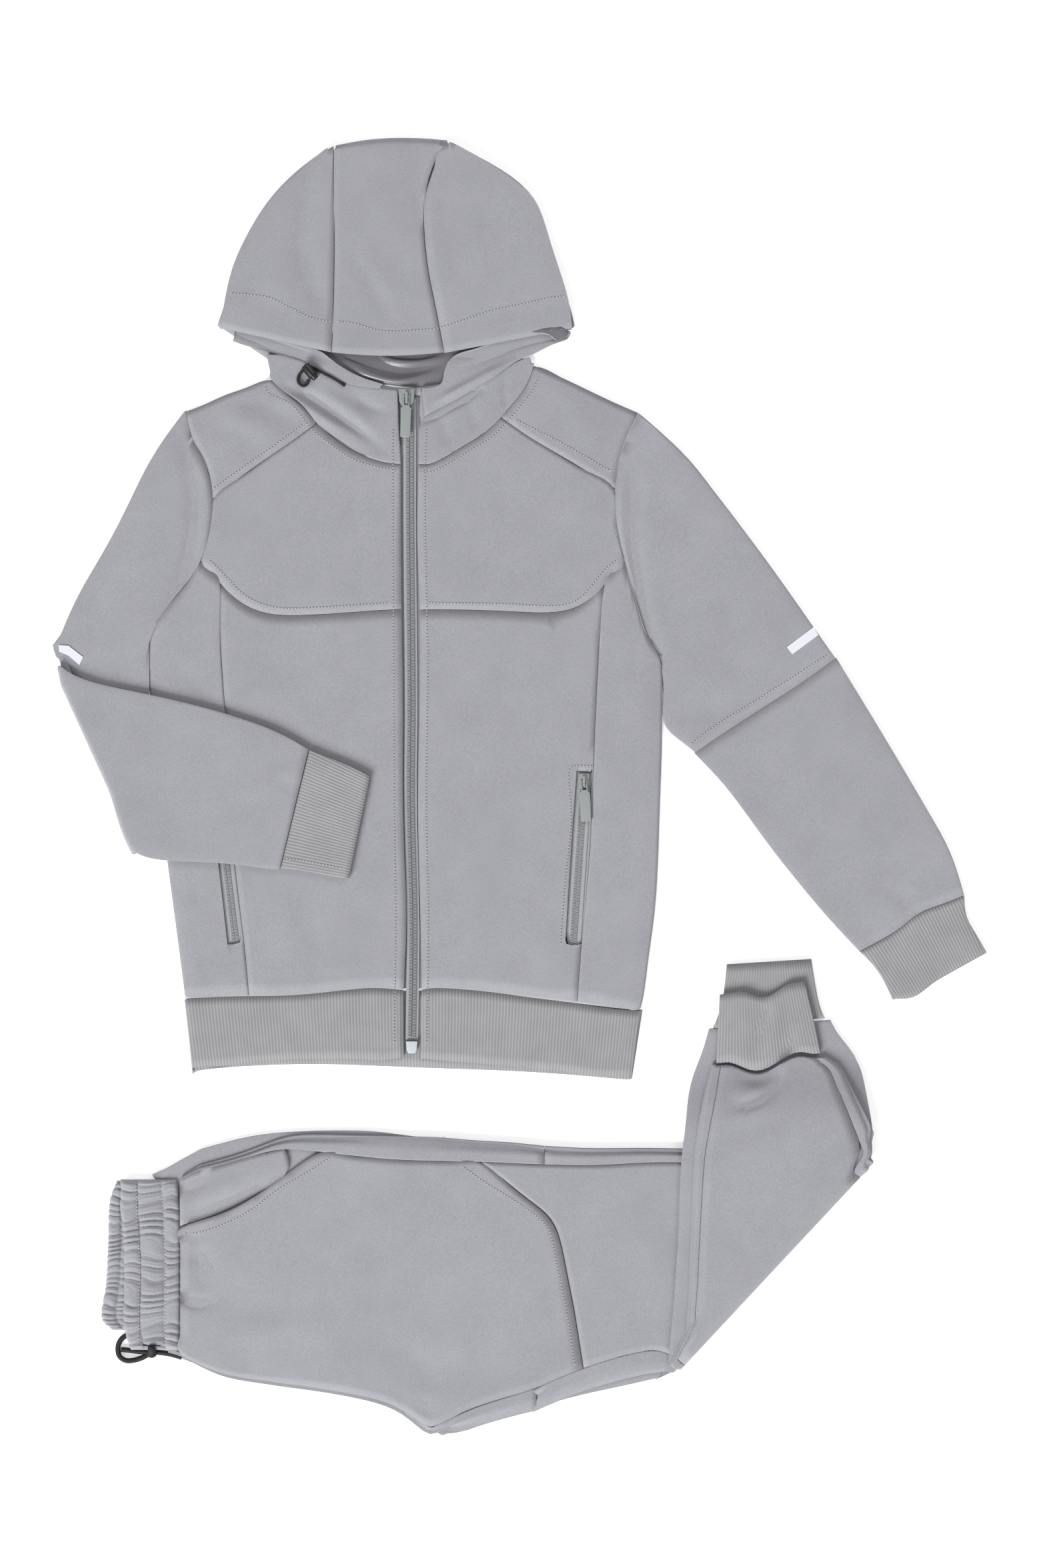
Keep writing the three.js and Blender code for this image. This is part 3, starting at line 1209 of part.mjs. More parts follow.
// The hood's elastic, its cord lock and the loop beyond it, on the left collar
const HOOD_CORD = 2.2;
const HOOD_CORD_ROUTE = [
  [-131.5, 299.3, 5.8], [-134.9, 302, 5.8], [-141, 305.6, 5.8], [-147.9, 309.2, 5.8],
  [-151.8, 311.4, 6.4], [-154.6, 312.9, 7.2],
];
const HOOD_LOOP_ROUTE = [
  [-163.4, 310.2, 6.6], [-166.2, 306.6, 5.9], [-166.2, 302.2, 5.9], [-163, 299.4, 5.9],
  [-159.8, 300.6, 5.9], [-158.9, 304.2, 6.6],
];
const LOCK = { from: [-161.5, 314.5], to: [-153, 304.5], radius: 3.6, z: 8.4 };

// The waist drawstring: a strand along the band's end, a bow beyond it and the knot from the slit
const WAIST_CORD = 4;
const WAIST_CORD_ROUTE = [
  [-253.8, -428.2, 2.05], [-262, -425.9, 2.05], [-270, -424.6, 2.05], [-276, -424.3, 2.05],
  [-283, -424, 2.05], [-290, -423.4, 2.05], [-296.2, -422.6, 2.05],
];
const WAIST_BOW_ROUTE = [
  [-284, -428.6, 2.05], [-290, -430.4, 2.05], [-296, -430.5, 2.05], [-300.4, -427.6, 2.05],
  [-301.8, -423, 2.05], [-301.2, -418, 2.05], [-298.6, -413.9, 2.05], [-295, -411.6, 2.05],
];
const WAIST_KNOT_ROUTE = [
  [-276.5, -418.4, 11.4], [-276.5, -422, 10.9], [-276.5, -425, 9], [-276.5, -427.2, 6.2],
];

function cords() {
  add('hood_cord', cordGeometry(HOOD_CORD_ROUTE, HOOD_CORD, 10), 'black');
  add('hood_cord_loop', cordGeometry(HOOD_LOOP_ROUTE, HOOD_CORD, 12), 'black');
  const [from, to] = [LOCK.from, LOCK.to].map(([x, y]) => new THREE.Vector3(x, y, LOCK.z));
  const long = from.distanceTo(to);
  const profile = [
    [0, 0], [LOCK.radius - 0.8, 0], [LOCK.radius, 0.8], [LOCK.radius, long - 3.4],
    [LOCK.radius - 0.6, long - 2.8], [2.6, long - 2.8], [2.6, long - 0.5], [2.1, long], [0, long],
  ].map(([r, h]) => new THREE.Vector2(r, h));
  const lock = add('cord_lock', bare(new THREE.LatheGeometry(profile, 12)), 'black');
  lock.position.copy(from);
  lock.quaternion.setFromUnitVectors(new THREE.Vector3(0, 1, 0), to.clone().sub(from).normalize());
  add('waist_cord', cordGeometry(WAIST_CORD_ROUTE, WAIST_CORD, 8), 'black');
  add('waist_cord_bow', cordGeometry(WAIST_BOW_ROUTE, WAIST_CORD, 12), 'black');
  add('waist_cord_knot', cordGeometry(WAIST_KNOT_ROUTE, 0.8 * WAIST_CORD, 5), 'black');
}

jacketBody();
hemBand();
rightSleeve();
leftSleeve();
hood();
collars();
farThigh();
nearThigh();
shins();
waistbands();
zips();
pulls();
bars();
cords();
export default suit;
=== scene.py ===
# A child's tracksuit laid flat on a pale floor: hooded zip jacket above, folded joggers below.
# Lengths inside this script are millimetres in the frame's axes; meshes are written in metres.
import json
import math
import bmesh
import bpy
import numpy as np
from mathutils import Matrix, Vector
from mathutils.bvhtree import BVHTree


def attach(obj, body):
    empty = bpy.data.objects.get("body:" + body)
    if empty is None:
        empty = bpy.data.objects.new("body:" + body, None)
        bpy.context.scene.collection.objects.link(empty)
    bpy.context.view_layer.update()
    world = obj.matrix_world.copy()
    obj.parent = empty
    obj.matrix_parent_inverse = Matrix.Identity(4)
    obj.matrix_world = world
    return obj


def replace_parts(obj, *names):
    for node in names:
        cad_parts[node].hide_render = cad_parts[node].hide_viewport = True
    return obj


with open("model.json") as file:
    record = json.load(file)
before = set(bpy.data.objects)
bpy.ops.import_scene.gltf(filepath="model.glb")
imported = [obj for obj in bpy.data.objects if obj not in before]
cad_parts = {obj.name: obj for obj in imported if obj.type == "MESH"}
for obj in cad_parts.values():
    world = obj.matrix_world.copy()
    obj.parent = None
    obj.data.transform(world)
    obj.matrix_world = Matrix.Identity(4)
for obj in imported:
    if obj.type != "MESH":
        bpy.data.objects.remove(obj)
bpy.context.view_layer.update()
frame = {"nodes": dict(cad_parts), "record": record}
MM = 0.001
BODY = "garments"
NODES = frame["nodes"]

# Camera and light
VIEW_LONG = 1176.0  # the long side of the view, at the photograph's half a millimetre a pixel
VIEW_CENTRE = (1.5, 1.5)
LENS = 85.0
SENSOR = 36.0


def linked(name, data):
    """A new object in the scene."""
    piece = bpy.data.objects.new(name, data)
    bpy.context.collection.objects.link(piece)
    return piece


def make_camera():
    data = bpy.data.cameras.new("camera")
    data.lens = LENS
    data.sensor_fit = "VERTICAL"
    data.sensor_height = SENSOR
    data.clip_end = 20
    camera = linked("camera", data)
    distance = VIEW_LONG * LENS / SENSOR
    camera.location = (VIEW_CENTRE[0] * MM, VIEW_CENTRE[1] * MM, distance * MM)
    bpy.context.scene.camera = camera


def area_light(name, place, size, power):
    """A square light, in metres and watts, aimed at the frame's origin."""
    data = bpy.data.lights.new(name, "AREA")
    data.shape = "SQUARE"
    data.size = size
    data.energy = power
    light = linked(name, data)
    light.location = place
    light.rotation_euler = (-Vector(place)).to_track_quat("-Z", "Y").to_euler()


def make_lights():
    area_light("key", (-4.2, -7.0, 5.4), 4.5, 1270)
    area_light("fill", (3.0, 5.0, 5.0), 3.0, 130)
    world = bpy.data.worlds.new("studio")
    world.use_nodes = True
    background = world.node_tree.nodes["Background"]
    background.inputs["Color"].default_value = (1, 1, 1, 1)
    background.inputs["Strength"].default_value = 0.42
    bpy.context.scene.world = world
    bpy.context.scene.view_settings.view_transform = "Standard"


# Materials
def srgb(*levels):
    """A colour from levels of 0 to 255, as the linear values that a shader takes."""
    return tuple(((v / 255 + 0.055) / 1.055) ** 2.4 for v in levels) + (1.0,)


class Shader:
    """A node tree built line by line, around one Principled shader."""

    def __init__(self, name, **settings):
        self.material = bpy.data.materials.new(name)
        self.material.use_nodes = True
        self.tree = self.material.node_tree
        self.bsdf = self.tree.nodes["Principled BSDF"]
        for key, value in settings.items():
            self.bsdf.inputs[key.replace("_", " ")].default_value = value
        self.place = self.node("ShaderNodeTexCoord").outputs["Object"]

    def feed(self, socket, value):
        """Links another node's output to a socket, or sets the socket's value."""
        if isinstance(value, bpy.types.NodeSocket):
            self.tree.links.new(value, socket)
        else:
            socket.default_value = value

    def node(self, kind, inputs=None, **settings):
        made = self.tree.nodes.new(kind)
        for key, value in settings.items():
            setattr(made, key, value)
        for key, value in (inputs or {}).items():
            self.feed(made.inputs[key], value)
        return made

    def noise(self, per_metre, detail=2.0, rough=0.5, stretch=(1, 1, 1)):
        mapping = self.node("ShaderNodeMapping", {"Vector": self.place, "Scale": stretch})
        inputs = {
            "Vector": mapping.outputs["Vector"],
            "Scale": per_metre,
            "Detail": detail,
            "Roughness": rough,
        }
        return self.node("ShaderNodeTexNoise", inputs).outputs["Fac"]

    def ramp(self, value, stops):
        made = self.node("ShaderNodeValToRGB", {"Fac": value})
        ramp = made.color_ramp
        while len(ramp.elements) < len(stops):
            ramp.elements.new(0.5)
        for element, (at, colour) in zip(ramp.elements, stops):
            element.position = at
            element.color = colour
        return made.outputs["Color"]

    def maths(self, operation, a, b=0.5):
        made = self.node("ShaderNodeMath", operation=operation)
        self.feed(made.inputs[0], a)
        self.feed(made.inputs[1], b)
        return made.outputs["Value"]

    def mix(self, share, a, b, how="MIX"):
        made = self.node("ShaderNodeMix", data_type="RGBA", blend_type=how)
        self.feed(made.inputs[0], share)
        self.feed(made.inputs[6], a)
        self.feed(made.inputs[7], b)
        return made.outputs[2]

    def colour(self, socket):
        self.tree.links.new(socket, self.bsdf.inputs["Base Color"])

    def bump(self, height, distance, strength=1.0, after=None):
        inputs = {"Height": height, "Distance": distance, "Strength": strength}
        if after is not None:
            inputs["Normal"] = after
        made = self.node("ShaderNodeBump", inputs).outputs["Normal"]
        self.tree.links.new(made, self.bsdf.inputs["Normal"])
        return made


def knit_cloth(name, dark, light):
    """Smooth double knit: a heathered colour, fine loops and a faint fuzz."""
    made = Shader(name, Roughness=0.88, Sheen_Weight=0.12, Sheen_Roughness=0.5, Specular_IOR_Level=0.25)
    heather = made.noise(1100, 2, 0.6)
    cloud = made.noise(28, 4, 0.6)
    fibre = made.noise(1500, 1, 0.5, stretch=(1, 0.45, 1))
    base = made.ramp(heather, [(0.3, dark), (0.7, light)])
    clouded = made.mix(0.35, base, made.ramp(cloud, [(0.3, dark), (0.7, light)]))
    flecked = made.ramp(fibre, [(0.3, srgb(232, 232, 234)), (0.62, srgb(255, 255, 255))])
    made.colour(made.mix(0.55, clouded, flecked, "MULTIPLY"))
    loops = made.bump(made.noise(1300, 2, 0.6, stretch=(1, 0.55, 1)), 0.0002, 0.4)
    made.bump(made.noise(420, 3, 0.6), 0.0003, 0.1, after=loops)
    return made.material


RIB_PITCH = 2.4  # millimetres from one rib of the knit to the next


def rib_cloth(name, dark, light):
    """Ribs that run along the cloth, by the places written into its own map."""
    made = Shader(name, Roughness=0.9, Sheen_Weight=0.1, Sheen_Roughness=0.5, Specular_IOR_Level=0.2)
    where = made.node("ShaderNodeUVMap", uv_map="knit").outputs["UV"]
    across = made.node("ShaderNodeSeparateXYZ", {"Vector": where}).outputs["X"]
    wave = made.maths("SINE", made.maths("MULTIPLY", across, 2 * math.pi / (RIB_PITCH * MM)))
    rib = made.maths("MULTIPLY_ADD", wave, 0.5)  # from 0 to 1: the node itself adds a half
    cloud = made.ramp(made.noise(60, 3, 0.6), [(0.3, srgb(240, 240, 240)), (0.7, srgb(255, 255, 255))])
    # The ribs' colour runs dark in their valleys and light on their ridges: painted shade and painted light,
    # beside the bump.
    made.colour(made.mix(0.8, made.ramp(rib, [(0.1, dark), (0.6, light)]), cloud, "MULTIPLY"))
    knit = made.bump(rib, 0.0004, 0.55)
    made.bump(made.noise(1300, 2, 0.6), 0.0002, 0.3, after=knit)
    return made.material


def plain(name, colour, grain=900, depth=0.0002, change=0.12, **settings):
    """One colour with a fine grain, for tape, film, thread, cord and plastic."""
    made = Shader(name, **settings)
    fine = made.noise(grain, 2, 0.6)
    darker = tuple(c * (1 - change) for c in colour[:3]) + (1.0,)
    made.colour(made.ramp(fine, [(0.3, darker), (0.7, colour)]))
    if depth:
        made.bump(fine, depth, 0.5)
    return made.material


def make_materials():
    return {
        "scuba_cloth": knit_cloth("scuba_cloth", srgb(144, 144, 150), srgb(162, 162, 168)),
        "waistband_cloth": knit_cloth("waistband_cloth", srgb(144, 144, 150), srgb(162, 162, 168)),
        "rib_knit": rib_cloth("rib_knit", srgb(142, 142, 144), srgb(158, 158, 160)),
        # lining: its own darker satin, made darker still as painted shade of the hood's opening
        "lining": plain(
            "lining", srgb(112, 110, 115), grain=1400, depth=0.00008, change=0.1,
            Roughness=0.32, Sheen_Weight=0.1,
        ),
        "zip_tape": plain(
            "zip_tape", srgb(164, 166, 170), grain=1100, depth=0.0003, change=0.16, Roughness=0.75,
        ),
        "zip_metal": plain(
            "zip_metal", srgb(150, 156, 154), grain=2200, depth=0.00003, change=0.05,
            Roughness=0.36, Metallic=0.1,
        ),
        "clear_plastic": plain(
            "clear_plastic", srgb(196, 203, 207), grain=900, depth=0.00002, change=0.06, Roughness=0.3,
        ),
        "reflective_film": plain(
            "reflective_film", srgb(222, 224, 233), grain=3000, depth=0.00003, change=0.05,
            Roughness=0.45,
        ),
        "black_cord": plain(
            "black_cord", srgb(24, 24, 27), grain=2600, depth=0.0004, change=0.45, Roughness=0.7,
        ),
        "black_plastic": plain(
            "black_plastic", srgb(22, 22, 24), grain=1500, depth=0.00003, change=0.2, Roughness=0.38,
        ),
        "thread": plain("thread", srgb(188, 188, 193), grain=2500, Roughness=0.7),
        # dark discs at the needle holes between stitches: painted shade
        "needle_hole_shade": plain("needle_hole_shade", srgb(92, 92, 98), grain=2500, Roughness=0.9),
        "floor": plain(
            "floor", srgb(250, 250, 250), depth=0, change=0.01, Roughness=0.9,
            Emission_Color=(1, 1, 1, 1), Emission_Strength=0.45,
        ),
    }


# Meshes to and from arrays
def mesh_object(name, points, faces, slot, smooth=True, finish=None):
    """A piece from points in millimetres; its finish is its slot's unless another is named."""
    mesh = bpy.data.meshes.new(name)
    mesh.from_pydata((np.asarray(points) * MM).tolist(), [], [list(map(int, f)) for f in faces])
    mesh.validate()
    solid = bmesh.new()
    solid.from_mesh(mesh)
    bmesh.ops.recalc_face_normals(solid, faces=solid.faces)
    solid.to_mesh(mesh)
    solid.free()
    if smooth:
        mesh.shade_smooth()
    piece = linked(name, mesh)
    dress(piece, slot, finish)
    return piece


def dress(piece, slot, finish=None):
    piece.data.materials.clear()
    piece.data.materials.append(MATERIALS[finish or slot])


def ring_faces(rings, count, first=0):
    """Quads between rings of count points each, and a cap at both ends."""
    faces = []
    for i in range(rings - 1):
        for j in range(count):
            a = first + count * i + j
            b = first + count * i + (j + 1) % count
            faces.append((a, b, b + count, a + count))
    last = first + count * (rings - 1)
    faces.append(tuple(first + j for j in range(count - 1, -1, -1)))
    faces.append(tuple(last + j for j in range(count)))
    return faces


def turns(count):
    """Angles evenly spaced round a circle."""
    return np.linspace(0, 2 * math.pi, count, endpoint=False)


def points_of(mesh):
    points = np.empty(len(mesh.vertices) * 3)
    mesh.vertices.foreach_get("co", points)
    return points.reshape(-1, 3) / MM


def set_points(mesh, points):
    mesh.vertices.foreach_set("co", (points * MM).ravel())
    mesh.update()


def evaluated(piece):
    """A copy of a piece's mesh with its modifiers applied."""
    bpy.context.view_layer.update()
    graph = bpy.context.evaluated_depsgraph_get()
    return bpy.data.meshes.new_from_object(piece.evaluated_get(graph))


def normals_of(mesh):
    normals = np.empty(len(mesh.vertices) * 3)
    mesh.vertices.foreach_get("normal", normals)
    return normals.reshape(-1, 3)


def slot_of(node):
    for part in frame["record"]["subparts"]:
        if part["node"] == node:
            return part["material_slot"]
    raise ValueError(node)


SHARP = math.radians(72)  # wall ends stay crisp, rolled edges turn smooth
SHADED = math.radians(48)  # a turn sharper than this shows as an edge


def stand_in(node, mesh, ending, body=BODY):
    """A finer piece that takes a node's place, with the node's finish."""
    piece = linked(f"{node}_{ending}", mesh)
    mesh.shade_smooth()
    mesh.set_sharp_from_angle(angle=SHADED)
    dress(piece, slot_of(node))
    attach(piece, body)
    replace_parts(piece, node)
    return piece


def solid_of(node):
    """The node's solid with whole quads, as a bmesh in metres."""
    solid = bmesh.new()
    solid.from_mesh(NODES[node].data)
    bmesh.ops.remove_doubles(solid, verts=solid.verts, dist=1e-6)
    bmesh.ops.join_triangles(
        solid,
        faces=solid.faces,
        angle_face_threshold=math.radians(25),
        angle_shape_threshold=math.radians(70),
    )
    return solid


SETTLING = 3  # rounds that bring the smooth surface back through the solid's own corners
SETTLING_STEP = 0.9  # how much of what is left each round takes back


def fine_skin(node, levels):
    """A finer, smoother copy of a node's solid through the same corners, its wall ends kept crisp."""
    solid = solid_of(node)
    crease = solid.edges.layers.float.new("crease_edge")
    for edge in solid.edges:
        if len(edge.link_faces) == 2 and edge.calc_face_angle(0) > SHARP:
            edge[crease] = 1.0
    mesh = bpy.data.meshes.new(node)
    solid.to_mesh(mesh)
    solid.free()
    rough = linked("rough", mesh)
    modifier = rough.modifiers.new("smooth", "SUBSURF")
    modifier.levels = levels
    corners = points_of(mesh)
    handles = corners.copy()
    for _ in range(SETTLING):
        fine = evaluated(rough)
        handles += SETTLING_STEP * (corners - points_of(fine)[:len(corners)])
        bpy.data.meshes.remove(fine)
        set_points(mesh, handles)
    fine = evaluated(rough)
    bpy.data.objects.remove(rough)
    return stand_in(node, fine, "skin")


# Lines in plan, as arrays of x and y
CURVE_STEPS = 12


def smooth_line(rows, spacing):
    """Points every few millimetres on a centripetal curve through the rows."""
    rows = np.asarray(rows, float)
    if len(rows) < 3:
        return resampled(rows, spacing)
    ends = np.vstack([2 * rows[0] - rows[1], rows, 2 * rows[-1] - rows[-2]])
    made = []
    for a, b, c, d in zip(ends, ends[1:], ends[2:], ends[3:]):
        steps = [max(1e-6, np.linalg.norm(q - p)) ** 0.5 for p, q in ((a, b), (b, c), (c, d))]
        t = np.concatenate([[0], np.cumsum(steps)])
        for x in np.linspace(t[1], t[2], CURVE_STEPS, endpoint=False):
            ab = ((t[1] - x) * a + (x - t[0]) * b) / (t[1] - t[0])
            bc = ((t[2] - x) * b + (x - t[1]) * c) / (t[2] - t[1])
            cd = ((t[3] - x) * c + (x - t[2]) * d) / (t[3] - t[2])
            abc = ((t[2] - x) * ab + (x - t[0]) * bc) / (t[2] - t[0])
            bcd = ((t[3] - x) * bc + (x - t[1]) * cd) / (t[3] - t[1])
            made.append(((t[2] - x) * abc + (x - t[1]) * bcd) / (t[2] - t[1]))
    return resampled(np.array(made + [rows[-1]]), spacing)


def along(line):
    """Distance from the line's start to each of its points."""
    return np.concatenate([[0], np.cumsum(np.linalg.norm(np.diff(line, axis=0), axis=1))])


def at(line, distances):
    where = along(line)
    return np.stack([np.interp(distances, where, column) for column in np.asarray(line).T], axis=1)


def resampled(line, spacing):
    total = along(line)[-1]
    return at(line, np.linspace(0, total, max(2, int(round(total / spacing)) + 1)))


def off(line, distance):
    """The line moved sideways, to its left where the distance is positive."""
    step = np.gradient(line, axis=0)
    step /= np.maximum(np.linalg.norm(step, axis=1, keepdims=True), 1e-9)
    return line + distance * np.stack([-step[:, 1], step[:, 0]], axis=1)


def distance_to(starts, ends, xy, chunk=4000):
    """Each point's distance to the nearest segment, and its place along the segments."""
    edge = ends - starts
    square = np.maximum((edge ** 2).sum(1), 1e-9)
    spans = np.sqrt(square)
    before = np.concatenate([[0], np.cumsum(spans)[:-1]])
    near, place = [], []
    for i in range(0, len(xy), chunk):
        part = xy[i:i + chunk, None, :]
        t = np.clip(((part - starts) * edge).sum(2) / square, 0, 1)
        gap = np.linalg.norm(part - starts - t[..., None] * edge, axis=2)
        best = gap.argmin(1)
        rows = np.arange(len(best))
        near.append(gap[rows, best])
        place.append(before[best] + t[rows, best] * spans[best])
    return np.concatenate(near), np.concatenate(place)


def line_distance(line, xy):
    line = np.asarray(line, float)
    return distance_to(line[:-1], line[1:], xy)


# Outlines of the nodes as they show from above
LOOKS_UP = 0.35  # a face whose normal rises at least this much looks up


def tree_of(mesh):
    solid = bmesh.new()
    solid.from_mesh(mesh)
    tree = BVHTree.FromBMesh(solid)
    solid.free()
    return tree


def top_faces(solid):
    """Faces of a solid that look up and have nothing of it above them."""
    tree = BVHTree.FromBMesh(solid)
    found = set()
    for face in solid.faces:
        if face.normal.z < LOOKS_UP:
            continue
        above = face.calc_center_median() + Vector((0, 0, 1e-5))
        if tree.ray_cast(above, Vector((0, 0, 1)))[0] is None:
            found.add(face)
    return found


def outline(node):
    """The node's plan outline as loops of x and y."""
    if node in OUTLINES:
        return OUTLINES[node]
    solid = solid_of(node)
    top = top_faces(solid)
    links = {}
    for edge in solid.edges:
        if sum(face in top for face in edge.link_faces) == 1:
            a, b = edge.verts
            links.setdefault(a, []).append(b)
            links.setdefault(b, []).append(a)
    loops = []
    seen = set()
    for start in links:
        if start in seen:
            continue
        loop = [start]
        seen.add(start)
        while True:
            onward = [v for v in links[loop[-1]] if v not in seen]
            if not onward:
                break
            loop.append(onward[0])
            seen.add(onward[0])
        loops.append(np.array([[v.co.x / MM, v.co.y / MM] for v in loop]))
    solid.free()
    OUTLINES[node] = loops
    return loops


def edges_of(loops):
    starts = np.vstack(loops)
    ends = np.vstack([np.roll(loop, -1, axis=0) for loop in loops])
    return starts, ends


